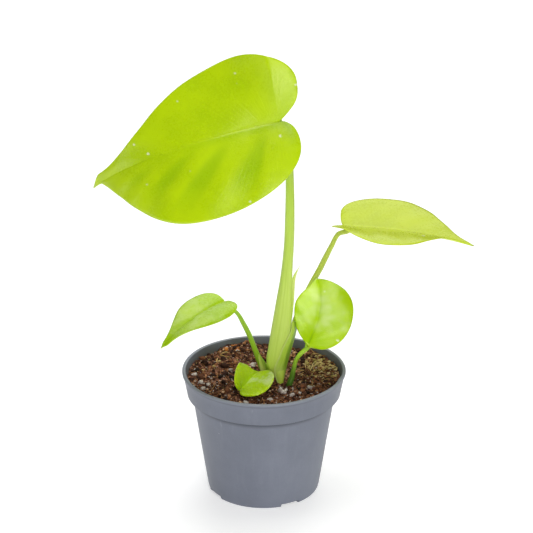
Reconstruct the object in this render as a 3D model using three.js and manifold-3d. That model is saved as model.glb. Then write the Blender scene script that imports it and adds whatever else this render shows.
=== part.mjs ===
// A young golden monstera in its small round nursery pot.
// Millimetres, +Z up. The origin is the middle of the pot's foot, and the plant is seen from -Y.

import * as THREE from 'three';
import { mergeVertices } from 'three/addons/utils/BufferGeometryUtils.js';
import Module from 'manifold-3d';

const wasm = await Module();
wasm.setup();

const DEGREE = Math.PI / 180;

// Clearance between pieces that touch on the real plant
const SEAT_GAP = 0.3;

// Thin tapered pot: a body, a wider band under the rim, and a foot with four raised drain channels
const POT = {
  height: 55,
  wall: 1.1,
  floor: 1.2,
  footRadius: 22.9,
  heelRadius: 24.1,
  heelHeight: 2,
  bodyTopRadius: 30.5,
  bandBottom: 44.2,
  bandBottomRadius: 32.8,
  bandTopRadius: 34.5,
  lipHeight: 1.2,
  rimRadius: 35,
  rimWidth: 1.6,
  footBevel: 0.8,
  edge: 0.4,
  segments: 64,
};
const CHANNEL = {
  count: 4, firstAngle: -61, width: 8.6, height: 1.7, inner: 16, roof: 1.2, cutBelow: 1,
  drain: 3.6, drainAt: 17,
};

// Potting mix that fills the pot to a little under the rim, heaped in a low bank against the wall
const SOIL = { top: 51.3, rings: 12, segments: 48 };
const CRUMB = { height: 0.7, size: 3.6, seed: 5 };
const SWELL = { height: 0.5, size: 13, seed: 3 };
const BANK = { at: [-12, 28], height: 2, reach: 10 };

// Small perlite grains strewn over the soil; squash and spread shape each grain
const PERLITE = {
  seed: 17, count: 14, smallest: 0.8, largest: 1.15, sink: 0.15, margin: 2.5, squash: 0.8, spread: 0.3,
};

// The perlite grains that show most: place on the soil and radius
const LARGE_GRAINS = [
  { at: [-23.6, -9.0], radius: 1.6 },
  { at: [-25.7, -11.9], radius: 1.2 },
  { at: [-29.6, 2.2], radius: 1.3 },
  { at: [-26.7, -6.1], radius: 1.3 },
  { at: [-21.0, 12.8], radius: 1.1 },
  { at: [-16.4, 25.2], radius: 1.0 },
  { at: [-14.0, 6.8], radius: 1.1 },
  { at: [-4.6, 9.8], radius: 1.7 },
  { at: [-11.2, 22.9], radius: 1.0 },
  { at: [7.4, -16.8], radius: 1.8 },
  { at: [9.5, -14.8], radius: 1.3 },
  { at: [19.7, -11.9], radius: 1.6 },
  { at: [12.4, -19.7], radius: 1.2 },
  { at: [15.4, -17.7], radius: 1.0 },
  { at: [2.7, -23.5], radius: 1.2 },
  { at: [-7.4, -25.4], radius: 1.3 },
];

// A blade is thicker along its midrib, on the underside
const BLADE = {
  thickness: 0.7, ribDepth: 0.7, ribWidth: 1.6, fullRibLength: 90, frameSteps: 60, columnPower: 1.15,
};

// How the folds at stalk and tip fade into a blade's middle fold, over these shares of its length
const FOLD = { baseShare: 0.35, tipShare: 0.4, sweepPower: 1.2, least: 1e-6 };

// How the waves between side veins fade towards the margin and the tip
const RIPPLE = { marginFade: 1.4, tipFade: 3 };

// How far the curves of a blade's outline pull from their ends, as shares of the stretch that each rounds
const PULL = {
  notchBack: 0.75, notchOut: 0.02, lobe: 0.45, round: 0.55, flank: 0.5,
  tail: 0.38, tailLean: 1.6, tip: 0.3, tipFall: 0.18, tipEnd: 0.35, tipOut: 0.12,
};

// Blades. Heading is the way from stalk to tip, seen from above; left and right are as seen from the stalk.
// Lengths in millimetres, angles in degrees, widest and tail as shares of the length.
// A notch is how far a lobe's edge spreads as it leaves the stalk, as a share of lobeOut.
const LEAVES = {
  leaf_1: {
    colour: 0xa8d000, length: 93.5, junction: [6.4, -14, 173.4],
    heading: 190, pitch: -10, roll: -55, arch: 64, archPower: 1.3, sweep: -1, twist: 5, lobeDrop: 10,
    ripple: { left: 0.7, right: 0.2, veins: [0, 0.05, 0.2, 0.36, 0.54, 0.73, 1] }, rows: 26, columns: 6,
    left: { width: 33.9, widest: 0.37, lobe: 6.3, lobeOut: 10,
      tail: 0.08, tailWidth: 0.7, tailSlope: 0.43,
      foldBase: 16, fold: 14, foldTip: 15, droop: 18, notch: 0.12 },
    right: { width: 30.1, widest: 0.15, lobe: 10.3, lobeOut: 15.8,
      tail: 0.08, tailWidth: 3.7, tailSlope: 0.03,
      foldBase: 34, fold: 1, foldTip: 15, droop: 16, notch: 0.34 },
  },
  leaf_2: {
    colour: 0xc8e034, length: 55, junction: [35.4, 22, 111.9],
    heading: -5, pitch: -1, roll: -3.5, arch: 15, archPower: 1.5, sweep: 0, twist: -8.5, lobeDrop: 10,
    ripple: { left: 0.2, right: 0.2, veins: [0, 0.07, 0.22, 0.42, 0.66, 1] }, rows: 22, columns: 5,
    left: { width: 23, widest: 0.37, lobe: 3.1, lobeOut: 10.1, tail: 0.06, tailWidth: 1.9, tailSlope: 0.35,
      foldBase: 21, fold: 22, foldTip: 15, droop: 7.5 },
    right: { width: 22.2, widest: 0.39, lobe: 6, lobeOut: 7.5, tail: 0.1, tailWidth: 0.9, tailSlope: 0.19,
      foldBase: 26, fold: 14, foldTip: 15, droop: 30 },
  },
  leaf_3: {
    colour: 0xaed60c, length: 36.9, junction: [18.5, -10, 70.4],
    heading: 58.5, pitch: 36.7, roll: 16.8, arch: 22.5, archPower: 1.3, sweep: 40.6, twist: -4, lobeDrop: 10,
    ripple: { left: 0.15, right: 0.15, veins: [0, 0.08, 0.28, 0.6, 1] }, rows: 18, columns: 4,
    left: { width: 10.8, widest: 0.52, lobe: -1.2, lobeOut: -0.4, tail: 0.03, tailWidth: 1.4, tailSlope: 0.42,
      foldBase: 22, fold: 14, foldTip: 15, droop: 22 },
    right: { width: 14.8, widest: 0.4, lobe: -0.1, lobeOut: 4.4, tail: 0.03, tailWidth: 1.4, tailSlope: 0.76,
      foldBase: 18, fold: 15, foldTip: 15, droop: 24 },
  },
  leaf_4: {
    colour: 0xa6d410, length: 39.2, junction: [-16.5, 0, 86.7],
    heading: 229.8, pitch: 3.3, roll: -13, arch: 44, archPower: 1.3, sweep: -2, twist: -1, lobeDrop: 15,
    ripple: { left: 0.1, right: 0.1, veins: [0, 0.08, 0.28, 0.6, 1] }, rows: 18, columns: 4,
    left: { width: 9.3, widest: 0.21, lobe: 2.6, lobeOut: 3.3, tail: 0.08, tailWidth: 1.8, tailSlope: 0.04,
      foldBase: 17.5, fold: 14, foldTip: 15, droop: 32 },
    right: { width: 9.7, widest: 0.26, lobe: 0.3, lobeOut: 3.7, tail: 0.08, tailWidth: 1.1, tailSlope: 0.11,
      foldBase: 16, fold: 10, foldTip: 15, droop: 23 },
  },
  leaf_5: {
    colour: 0x9ed00a, length: 19.6, junction: [-9.3, -16.2, 53.5],
    heading: 62.5, pitch: 12.5, roll: 27.7, arch: 35, archPower: 1.3, sweep: 2, twist: -37, lobeDrop: 0,
    ripple: { left: 0, right: 0, veins: [0, 0.1, 0.4, 1] }, rows: 16, columns: 4,
    left: { width: 8.1, widest: 0.35, lobe: 2.5, lobeOut: 2.8, tail: 0.05, tailWidth: 0.9, tailSlope: 0.32,
      foldBase: 42, fold: 45, foldTip: 15, droop: 10 },
    right: { width: 12.7, widest: 0.23, lobe: 4.5, lobeOut: 4.4, tail: 0.04, tailWidth: 0.9, tailSlope: 0.43,
      foldBase: 30, fold: 25, foldTip: 15, droop: -11 },
  },
};

// Stalks. Each point is [x, y, z, half width seen from the front, half depth]
const STALKS = {
  leaf_1_petiole: {
    colour: 0x9fc040, sides: 14, steps: 28,
    points: [[7, -5.8, 40, 1.4, 1.4], [7.1, -6, 50, 1.3, 1.4], [6.9, -5.7, 53.5, 1.8, 1.7],
      [6.3, -5.1, 56.4, 2.8, 2.2], [5.2, -4.4, 60, 3.9, 2.7], [6, -4.1, 66.8, 4, 2.8],
      [6.9, -4.2, 72.5, 4.1, 2.8], [8.05, -4.6, 81.1, 3.95, 2.75], [8.75, -5, 89.6, 3.35, 2.5],
      [9.4, -5.5, 98.1, 2.65, 2.3], [9.9, -5.8, 105, 2.3, 2.15], [10.6, -6.4, 114.9, 2.1, 2],
      [10.9, -7.4, 126, 2, 1.9], [10.9, -9, 142.9, 1.75, 1.75], [10.5, -10, 154.8, 1.6, 1.65],
      [9.4, -11.3, 164.1, 1.5, 1.6], [6.3, -14, 173.4, 1.5, 1.6]],
  },
  leaf_2_petiole: {
    colour: 0xa8c644, sides: 8, steps: 18,
    points: [[7.7, -0.6, 41, 1.3, 1.3], [7.6, -0.2, 50.6, 1.4, 1.4], [8.2, 0.5, 56.2, 1.8, 1.5],
      [9.9, 1, 63.3, 1.8, 1.5], [12.1, 2.4, 70.2, 1.6, 1.4], [13.8, 6, 75.4, 1.35, 1.3],
      [17.1, 14, 81.1, 1.25, 1.2], [20.5, 21.2, 85.3, 1.2, 1.15], [24, 23.7, 91, 1.25, 1.15],
      [26.5, 23.5, 96.6, 1.2, 1.1], [29.1, 23, 102.4, 1.05, 1], [32, 22.5, 108.2, 1, 1],
      [35.4, 22, 111.9, 1.1, 1]],
  },
  leaf_3_petiole: {
    colour: 0x86b82a, sides: 8, steps: 12,
    points: [[10.6, -9, 42, 1.1, 1.1], [10.9, -9, 51.3, 1.3, 1.2], [11.9, -8.6, 54.8, 1.2, 1.1],
      [12.8, -8.3, 58.9, 0.95, 0.95], [13.8, -8.5, 63.3, 0.85, 0.85], [15.6, -9, 66.4, 0.9, 0.9],
      [18.5, -10, 70.4, 1, 1]],
  },
  leaf_4_petiole: {
    colour: 0x92c034, sides: 8, steps: 18,
    points: [[1, 5.5, 41.9, 1.4, 1.3], [0.8, 5.2, 50.9, 1.9, 1.5], [-0.9, 4.8, 55.4, 1.7, 1.4],
      [-2.4, 4.2, 58.9, 1.3, 1.2], [-3.9, 3, 63.6, 1.1, 1], [-5.9, 2, 69.7, 1.1, 1],
      [-8.4, 1.2, 75.6, 1, 0.9], [-11.7, 0.5, 81.6, 0.8, 0.8], [-16.5, 0, 86.7, 0.9, 0.9]],
  },
  leaf_5_petiole: {
    colour: 0x7fb024, sides: 8, steps: 12,
    points: [[3.4, -9, 43, 0.9, 0.9], [3.2, -9.4, 49.9, 0.9, 0.9], [1.2, -11, 52.3, 0.8, 0.8],
      [-3, -14.2, 52.5, 0.75, 0.75], [-9.4, -15, 53, 0.8, 0.8]],
  },
  spear: {
    colour: 0xb6d850, sides: 8, steps: 14,
    points: [[10.6, -1.2, 74, 0.5, 0.5], [11.3, -1.5, 80, 0.8, 0.7], [12, -2.4, 89, 0.9, 0.7],
      [12.3, -2.9, 95.5, 0.9, 0.65], [13.1, -3, 99.7, 0.6, 0.5], [14.4, -3, 102.7, 0.4, 0.4],
      [15.9, -3, 105.4, 0.3, 0.3]],
  },
};

// Side veins: those of the lobes start crowded at the stalk, the others spread out towards the tip
const VEINS = { lobeShare: 0.2, crowd: 0.02, spread: 2.4 };

// How a stalk meets its blade: this far past the notch, after a straight stretch square to the blade
const STALK_END = { ahead: 0.6, straight: 1.6 };

// A closed triangle mesh from a list of points and faces
function meshGeometry(points, faces) {
  const geometry = new THREE.BufferGeometry();
  const numbers = points.flatMap((point) => point.toArray());
  geometry.setAttribute('position', new THREE.Float32BufferAttribute(numbers, 3));
  geometry.setIndex(faces.flat());
  return geometry;
}

// A geometry as a solid that can be joined and cut
function toSolid(geometry) {
  const bare = geometry.clone();
  bare.deleteAttribute('normal');
  bare.deleteAttribute('uv');
  const merged = mergeVertices(bare, 1e-4);
  const index = Array.from(merged.index.array);
  const faces = [];
  for (let i = 0; i < index.length; i += 3) {
    const [a, b, c] = index.slice(i, i + 3);
    if (a !== b && b !== c && c !== a) faces.push(a, b, c);
  }
  const vertProperties = Float32Array.from(merged.attributes.position.array);
  return new wasm.Manifold(new wasm.Mesh({ numProp: 3, vertProperties, triVerts: Uint32Array.from(faces) }));
}

// A solid as a geometry
function toGeometry(solid) {
  const mesh = solid.getMesh();
  const geometry = new THREE.BufferGeometry();
  geometry.setAttribute('position', new THREE.BufferAttribute(Float32Array.from(mesh.vertProperties), 3));
  geometry.setIndex(new THREE.BufferAttribute(Uint32Array.from(mesh.triVerts), 1));
  geometry.computeVertexNormals();
  return geometry;
}

// Repeatable random numbers between 0 and 1
function seededRandom(seed) {
  let state = seed >>> 0;
  return () => {
    state = (state + 0x6d2b79f5) >>> 0;
    let value = Math.imul(state ^ (state >>> 15), 1 | state);
    value = (value + Math.imul(value ^ (value >>> 7), 61 | value)) ^ value;
    return ((value ^ (value >>> 14)) >>> 0) / 4294967296;
  };
}

// Smooth noise from -1 to 1 over a plane, one lump per unit
function noise(x, y, seed) {
  const corner = (i, j) => 2 * seededRandom(i * 7919 + j * 104729 + seed * 31)() - 1;
  const i = Math.floor(x);
  const j = Math.floor(y);
  const u = THREE.MathUtils.smoothstep(x - i, 0, 1);
  const v = THREE.MathUtils.smoothstep(y - j, 0, 1);
  const near = THREE.MathUtils.lerp(corner(i, j), corner(i + 1, j), u);
  const far = THREE.MathUtils.lerp(corner(i, j + 1), corner(i + 1, j + 1), u);
  return THREE.MathUtils.lerp(near, far, v);
}

// One flat half of a blade, from the stalk round the lobe to the tip, as points along and across
function halfOutline(length, half, count) {
  const { width, lobe, lobeOut, tailWidth, tailSlope, notch = PULL.notchOut } = half;
  const widestAt = half.widest * length;
  const tail = half.tail * length;
  const tailAt = length - tail;
  const pull = PULL.tail * (tailAt - widestAt);
  const bezier = (...xy) => new THREE.CubicBezierCurve(...xy.map(([x, y]) => new THREE.Vector2(x, y)));
  const path = new THREE.CurvePath();
  path.add(bezier([0, 0], [-PULL.notchBack * lobe, notch * lobeOut],
    [-lobe, PULL.lobe * lobeOut], [-lobe, lobeOut]));
  path.add(bezier([-lobe, lobeOut], [-lobe, lobeOut + PULL.round * (width - lobeOut)],
    [widestAt - PULL.round * (widestAt + lobe), width], [widestAt, width]));
  path.add(bezier([widestAt, width], [widestAt + PULL.flank * (tailAt - widestAt), width],
    [tailAt - pull, tailWidth + PULL.tailLean * pull * tailSlope], [tailAt, tailWidth]));
  path.add(bezier([tailAt, tailWidth],
    [tailAt + PULL.tip * tail, tailWidth - PULL.tipFall * tail * tailSlope],
    [length - PULL.tipEnd * tail, PULL.tipOut * tailWidth], [length, 0]));
  return path.getSpacedPoints(count);
}

// The midrib as a chain of frames: a place, the way along, the way to the left and the upper side
function midribFrames(leaf) {
  const steps = BLADE.frameSteps;
  const heading = leaf.heading * DEGREE;
  const pitch = leaf.pitch * DEGREE;
  const along = new THREE.Vector3(
    Math.cos(pitch) * Math.cos(heading), Math.cos(pitch) * Math.sin(heading), Math.sin(pitch));
  const left = new THREE.Vector3(-Math.sin(heading), Math.cos(heading), 0);
  left.applyAxisAngle(along, leaf.roll * DEGREE);
  const place = new THREE.Vector3(...leaf.junction);
  const frames = [{ place: place.clone(), along: along.clone(), left: left.clone() }];
  for (let i = 0; i < steps; i += 1) {
    const before = along.clone();
    const gain = (power) => DEGREE * (((i + 1) / steps) ** power - (i / steps) ** power);
    const bend = leaf.arch * gain(leaf.archPower);
    const turn = leaf.sweep * gain(FOLD.sweepPower);
    along.applyAxisAngle(left, bend);
    const upper = new THREE.Vector3().crossVectors(along, left);
    along.applyAxisAngle(upper, turn);
    left.applyAxisAngle(upper, turn);
    left.applyAxisAngle(along, (leaf.twist * DEGREE) / steps);
    place.addScaledVector(before.add(along).normalize(), leaf.length / steps);
    frames.push({ place: place.clone(), along: along.clone(), left: left.clone() });
  }
  for (const frame of frames) frame.upper = new THREE.Vector3().crossVectors(frame.along, frame.left);
  return frames;
}

// A point of the bent blade, from its place on the flat blade
function bladePoint(leaf, frames, u, v, lift) {
  const side = v >= 0 ? 1 : -1;
  const half = v >= 0 ? leaf.left : leaf.right;
  const across = Math.abs(v);
  const share = THREE.MathUtils.clamp(u / leaf.length, 0, 1);
  const station = share * (frames.length - 1);
  const i = Math.min(Math.floor(station), frames.length - 2);
  const f = station - i;
  const mix = (key) => frames[i][key].clone().lerp(frames[i + 1][key], f);
  const place = mix('place');
  const back = Math.max(-u, 0);
  if (back > 0) {
    const drop = (leaf.lobeDrop * DEGREE * back) / Math.max(leaf.left.lobe, leaf.right.lobe);
    place.addScaledVector(mix('along'), drop > FOLD.least ? (-back * Math.sin(drop)) / drop : -back);
    place.addScaledVector(mix('upper'), drop > FOLD.least ? (-back * (1 - Math.cos(drop))) / drop : 0);
  }
  const baseWeight = Math.max(1 - share / FOLD.baseShare, 0) ** 2;
  const tipWeight = Math.max(1 - (1 - share) / FOLD.tipShare, 0) ** 2;
  const towardsBase = (half.foldBase - half.fold) * baseWeight;
  const towardsTip = (half.foldTip - half.fold) * tipWeight;
  const fold = DEGREE * (half.fold + towardsBase + towardsTip);
  const curl = (-half.droop * DEGREE) / half.width || -FOLD.least;
  const end = fold + curl * across;
  place.addScaledVector(mix('left'), (side * (Math.sin(end) - Math.sin(fold))) / curl);
  place.addScaledVector(mix('upper'), (Math.cos(fold) - Math.cos(end)) / curl + lift);
  return place;
}

// Where a side vein leaves the midrib, from where it meets the margin; both as shares
function veinStart(margin) {
  const { lobeShare, crowd, spread } = VEINS;
  if (margin < lobeShare) return (crowd * margin) / lobeShare;
  return crowd + (1 - crowd) * ((margin - lobeShare) / (1 - lobeShare)) ** spread;
}

// The waves between side veins: 1 on a vein, -1 halfway to the next
function veinWave(veins, start) {
  const k = Math.max(veins.findIndex((vein) => vein >= start), 1);
  return Math.cos((2 * Math.PI * (start - veins[k - 1])) / (veins[k] - veins[k - 1]));
}

// A blade: rows of points along the side veins, the same triangles above and below, and a thin margin
function bladeGeometry(leaf, grow = 0) {
  const { rows, columns } = leaf;
  const frames = midribFrames(leaf);
  const middle = [];
  const flat = [];
  const faces = [];
  const add = (u, v, lift) => {
    flat.push([u, v]);
    middle.push(bladePoint(leaf, frames, u, v, lift));
    return middle.length - 1;
  };
  const stalkEnd = add(0, 0, 0);
  const tip = add(leaf.length, 0, 0);
  const rib = [stalkEnd];
  for (let i = 1; i < rows; i += 1) rib.push(add(veinStart(i / rows) * leaf.length, 0, 0));
  rib.push(tip);
  const margins = {};
  for (const [name, side] of [['left', 1], ['right', -1]]) {
    const outline = halfOutline(leaf.length, leaf[name], rows);
    const face = (a, b, c) => faces.push(side > 0 ? [a, b, c] : [a, c, b]);
    let before = Array(columns + 1).fill(stalkEnd);
    margins[name] = [stalkEnd];
    for (let i = 1; i <= rows; i += 1) {
      const start = veinStart(i / rows);
      const row = [rib[i]];
      for (let j = 1; j <= columns; j += 1) {
        const t = (j / columns) ** BLADE.columnPower;
        const u = THREE.MathUtils.lerp(start * leaf.length, outline[i].x, t);
        const v = side * THREE.MathUtils.lerp(0, outline[i].y, t);
        const fade = t * (RIPPLE.marginFade - t) * Math.min(RIPPLE.tipFade * (1 - i / rows), 1);
        const lift = -leaf.ripple[name] * veinWave(leaf.ripple.veins, start) * fade;
        row.push(i === rows ? tip : add(u, v, lift));
      }
      for (let j = 0; j < columns; j += 1) {
        if (row[j] !== before[j]) face(before[j], row[j], row[j + 1] === row[j] ? before[j + 1] : row[j + 1]);
        if (before[j] !== before[j + 1] && row[j] !== row[j + 1]) face(before[j], row[j + 1], before[j + 1]);
      }
      before = row;
      margins[name].push(row[columns]);
    }
  }
  const normals = middle.map(() => new THREE.Vector3());
  for (const [a, b, c] of faces) {
    const normal = middle[b].clone().sub(middle[a]).cross(middle[c].clone().sub(middle[a]));
    for (const corner of [a, b, c]) normals[corner].add(normal);
  }
  const points = [];
  middle.forEach((point, k) => points.push(point.clone().addScaledVector(
    normals[k].normalize(), BLADE.thickness / 2 + grow)));
  middle.forEach((point, k) => {
    const [u, v] = flat[k];
    const ribShare = Math.exp(-((v / BLADE.ribWidth) ** 2)) * Math.sqrt(Math.max(1 - u / leaf.length, 0));
    const depth = BLADE.thickness / 2 + grow + ribDepth(leaf) * ribShare;
    points.push(point.clone().addScaledVector(normals[k], -depth));
  });
  const below = middle.length;
  const solid = faces.map((f) => [...f]);
  for (const [a, b, c] of faces) solid.push([a + below, c + below, b + below]);
  const loop = [...margins.right, ...margins.left.slice(1, -1).reverse()];
  loop.forEach((a, k) => {
    const b = loop[(k + 1) % loop.length];
    solid.push([a, b + below, b], [a, a + below, b + below]);
  });
  return meshGeometry(points, solid);
}

// How far the midrib stands out under a blade at its stalk
function ribDepth(leaf) {
  return BLADE.ribDepth * Math.min(leaf.length / BLADE.fullRibLength, 1);
}

// The points of a stalk, deeper at its foot when grown; the last two come from the blade that it carries
function stalkPoints(name, grow) {
  const [[x, y, z, ...foot], ...rest] = STALKS[name].points;
  const points = [[x, y, z - grow, ...foot], ...rest];
  const leaf = LEAVES[name.replace('_petiole', '')];
  if (!leaf) return points;
  const { along, upper } = midribFrames(leaf)[0];
  const [, , , width, depth] = points.at(-1);
  const under = BLADE.thickness / 2 + ribDepth(leaf) + SEAT_GAP;
  const end = new THREE.Vector3(...leaf.junction)
    .addScaledVector(along, STALK_END.ahead)
    .addScaledVector(upper, -under);
  const bend = end.clone().addScaledVector(upper, -STALK_END.straight);
  return [...points.slice(0, -1), [...bend.toArray(), width, depth], [...end.toArray(), width, depth]];
}

// A stalk: an oval section carried along a smooth line through its points, closed at both ends
function stalkGeometry(name, grow = 0) {
  const stalk = STALKS[name];
  const stations = stalkPoints(name, grow);
  const line = new THREE.CatmullRomCurve3(stations.map(([x, y, z]) => new THREE.Vector3(x, y, z)));
  const size = new THREE.CatmullRomCurve3(stations.map((p) => new THREE.Vector3(p[3], p[4], 0)));
  const points = [];
  const faces = [];
  for (let i = 0; i <= stalk.steps; i += 1) {
    const t = line.getUtoTmapping(i / stalk.steps);
    const centre = line.getPoint(t);
    const along = line.getTangent(t);
    const width = new THREE.Vector3(0, 1, 0).cross(along).normalize();
    const depth = along.clone().cross(width);
    const half = size.getPoint(t);
    for (let k = 0; k < stalk.sides; k += 1) {
      const angle = (2 * Math.PI * k) / stalk.sides;
      points.push(centre.clone()
        .addScaledVector(width, (half.x + grow) * Math.cos(angle))
        .addScaledVector(depth, (half.y + grow) * Math.sin(angle)));
    }
  }
  const ring = (i, k) => i * stalk.sides + (k % stalk.sides);
  for (let i = 0; i < stalk.steps; i += 1) {
    for (let k = 0; k < stalk.sides; k += 1) {
      faces.push([ring(i, k), ring(i, k + 1), ring(i + 1, k + 1)]);
      faces.push([ring(i, k), ring(i + 1, k + 1), ring(i + 1, k)]);
    }
  }
  for (let k = 1; k < stalk.sides - 1; k += 1) {
    faces.push([ring(0, 0), ring(0, k + 1), ring(0, k)]);
    faces.push([ring(stalk.steps, 0), ring(stalk.steps, k), ring(stalk.steps, k + 1)]);
  }
  return meshGeometry(points, faces);
}

// A round body from a half profile of [radius, height] points that starts and ends on the axis
function turned(profile, segments) {
  const points = profile.map(([radius, height]) => new THREE.Vector2(radius, height));
  return new THREE.LatheGeometry(points, segments).rotateX(Math.PI / 2);
}

// The pot's wall inside, as a radius at a height
function potInside(height) {
  const { wall, bandBottom, bodyTopRadius, footRadius, heelHeight } = POT;
  const { bandBottomRadius, rimRadius, rimWidth } = POT;
  if (height >= bandBottom + wall) {
    const share = (height - bandBottom - wall) / (POT.height - bandBottom - wall);
    return THREE.MathUtils.lerp(bandBottomRadius - wall, rimRadius - rimWidth, share);
  }
  const share = (height - heelHeight) / (bandBottom - heelHeight);
  return THREE.MathUtils.lerp(footRadius, bodyTopRadius - wall, Math.min(share, 1));
}

// The pot: turned wall and floor, four drain channels pressed up into the foot, each with its hole
function potSolid() {
  const { height, wall, floor, footRadius, footBevel, heelRadius, heelHeight, bodyTopRadius } = POT;
  const { bandBottom, bandBottomRadius, bandTopRadius, lipHeight, rimRadius, rimWidth, edge } = POT;
  const lipBottom = height - lipHeight;
  const rimInside = height - wall;
  let pot = toSolid(turned([
    [0, 0], [footRadius, 0], [footRadius + footBevel, edge], [heelRadius, heelHeight],
    [bodyTopRadius, bandBottom - edge], [bodyTopRadius + edge, bandBottom],
    [bandBottomRadius, bandBottom + edge / 2], [bandTopRadius, lipBottom],
    [rimRadius, lipBottom + edge / 2], [rimRadius, height - edge],
    [rimRadius - edge, height], [rimRadius - rimWidth + edge, height], [potInside(rimInside), rimInside],
    [potInside(bandBottom + wall), bandBottom + wall], [bodyTopRadius - wall, bandBottom - edge],
    [potInside(heelHeight), heelHeight], [footRadius - footBevel, floor], [0, floor],
  ], POT.segments));
  const { inner, roof, drain, drainAt, cutBelow } = CHANNEL;
  for (let k = 0; k < CHANNEL.count; k += 1) {
    const turn = new THREE.Matrix4().makeRotationZ((CHANNEL.firstAngle + k * (360 / CHANNEL.count)) * DEGREE);
    const bar = (start, end, wide, low, high) => toSolid(new THREE.BoxGeometry(end - start, wide, high - low)
      .translate((start + end) / 2, 0, (low + high) / 2).applyMatrix4(turn));
    const roofTop = CHANNEL.height + roof;
    pot = pot.add(bar(inner - roof, heelRadius - footBevel, CHANNEL.width + 2 * roof, floor / 2, roofTop));
    pot = pot.subtract(bar(inner, rimRadius, CHANNEL.width, -cutBelow, CHANNEL.height));
    pot = pot.subtract(bar(drainAt, drainAt + drain, drain, -cutBelow, roofTop + roof));
  }
  return pot;
}

// Height of the soil at a place
function soilHeight(x, y) {
  const relief = ({ height, size, seed }) => height * noise(x / size, y / size, seed);
  const bank = BANK.height * Math.exp(-((Math.hypot(x - BANK.at[0], y - BANK.at[1]) / BANK.reach) ** 2));
  return SOIL.top + relief(SWELL) + relief(CRUMB) + bank;
}

// The soil: fills the pot, crumbed on top, with perlite grains half sunk in it and a hole for each stalk
function soilSolid() {
  const edge = potInside(SOIL.top - CRUMB.height - SWELL.height) - SEAT_GAP;
  const bottom = CHANNEL.height + CHANNEL.roof + SEAT_GAP;
  const shoulder = POT.bandBottom + POT.wall;
  const profile = [[0, bottom], [potInside(bottom) - SEAT_GAP, bottom],
    [POT.bodyTopRadius - POT.wall - SEAT_GAP, POT.bandBottom - POT.edge],
    [potInside(shoulder) - SEAT_GAP, shoulder + SEAT_GAP]];
  for (let i = SOIL.rings; i >= 0; i -= 1) profile.push([(edge * i) / SOIL.rings, SOIL.top]);
  const body = turned(profile, SOIL.segments);
  const place = body.attributes.position;
  for (let k = 0; k < place.count; k += 1) {
    if (place.getZ(k) > shoulder + POT.wall) place.setZ(k, soilHeight(place.getX(k), place.getY(k)));
  }
  let soil = toSolid(body);
  const random = seededRandom(PERLITE.seed);
  const grains = [...LARGE_GRAINS];
  for (let k = 0; k < PERLITE.count; k += 1) {
    const reach = (edge - PERLITE.margin) * Math.sqrt(random());
    const angle = 2 * Math.PI * random();
    const radius = THREE.MathUtils.lerp(PERLITE.smallest, PERLITE.largest, random());
    grains.push({ at: [reach * Math.cos(angle), reach * Math.sin(angle)], radius });
  }
  for (const { at: [x, y], radius } of grains) {
    const grain = new THREE.IcosahedronGeometry(radius, 0)
      .rotateX(Math.PI * random())
      .rotateZ(Math.PI * random())
      .scale(1, PERLITE.squash + PERLITE.spread * random(), PERLITE.squash)
      .translate(x, y, soilHeight(x, y) + PERLITE.sink);
    soil = soil.add(toSolid(grain));
  }
  for (const name of Object.keys(STALKS)) soil = soil.subtract(toSolid(stalkGeometry(name, SEAT_GAP)));
  return soil;
}

// Adds one named piece to the plant
function addPiece(group, name, geometry, finish) {
  const mesh = new THREE.Mesh(geometry, new THREE.MeshStandardMaterial({ metalness: 0, ...finish }));
  mesh.name = name;
  group.add(mesh);
}

const plant = new THREE.Group();
addPiece(plant, 'pot', toGeometry(potSolid()), { color: 0x7d818c, roughness: 0.5 });
addPiece(plant, 'soil', toGeometry(soilSolid()), { color: 0x3a261c, roughness: 0.95 });

for (const [name, stalk] of Object.entries(STALKS)) {
  let solid = toSolid(stalkGeometry(name));
  const leaf = LEAVES[name.replace('_petiole', '')];
  if (leaf) solid = solid.subtract(toSolid(bladeGeometry(leaf, SEAT_GAP)));
  addPiece(plant, name, toGeometry(solid), { color: stalk.colour, roughness: 0.45 });
}
for (const [name, leaf] of Object.entries(LEAVES)) {
  const blade = toSolid(bladeGeometry(leaf));
  addPiece(plant, `${name}_blade`, toGeometry(blade), { color: leaf.colour, roughness: 0.4 });
}

export default plant;
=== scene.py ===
"""The looks of a young golden monstera in its small nursery pot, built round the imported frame.

Sizes are millimetres in the row frame, +Z up, with the plant seen from -Y, and turn into metres
as a mesh is made. Each node of the frame gets a finer piece that keeps its form.
"""

import logging
import math
from collections.abc import Sequence
from dataclasses import dataclass, field
from enum import Enum

import bmesh
import bpy
import numpy as np
from mathutils import Matrix, Vector


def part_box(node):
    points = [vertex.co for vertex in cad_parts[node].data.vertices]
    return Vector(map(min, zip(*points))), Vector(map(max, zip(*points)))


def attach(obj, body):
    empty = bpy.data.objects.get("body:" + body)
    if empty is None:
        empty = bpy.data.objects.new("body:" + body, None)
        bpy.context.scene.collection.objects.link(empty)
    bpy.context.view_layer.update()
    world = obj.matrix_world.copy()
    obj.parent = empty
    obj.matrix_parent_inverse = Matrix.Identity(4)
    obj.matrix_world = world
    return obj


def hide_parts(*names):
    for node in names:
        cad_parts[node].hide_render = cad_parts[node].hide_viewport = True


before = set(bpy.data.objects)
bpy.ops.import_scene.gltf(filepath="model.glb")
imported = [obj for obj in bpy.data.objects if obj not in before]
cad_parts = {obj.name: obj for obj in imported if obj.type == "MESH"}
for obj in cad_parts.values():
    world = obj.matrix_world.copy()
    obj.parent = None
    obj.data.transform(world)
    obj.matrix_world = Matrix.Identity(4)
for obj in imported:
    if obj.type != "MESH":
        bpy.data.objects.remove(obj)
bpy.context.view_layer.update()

LOG = logging.getLogger("plant")
MM = 0.001
TURN = 2 * math.pi
BODY = "root"
Array = np.ndarray
Colour = tuple[float, float, float, float]


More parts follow.
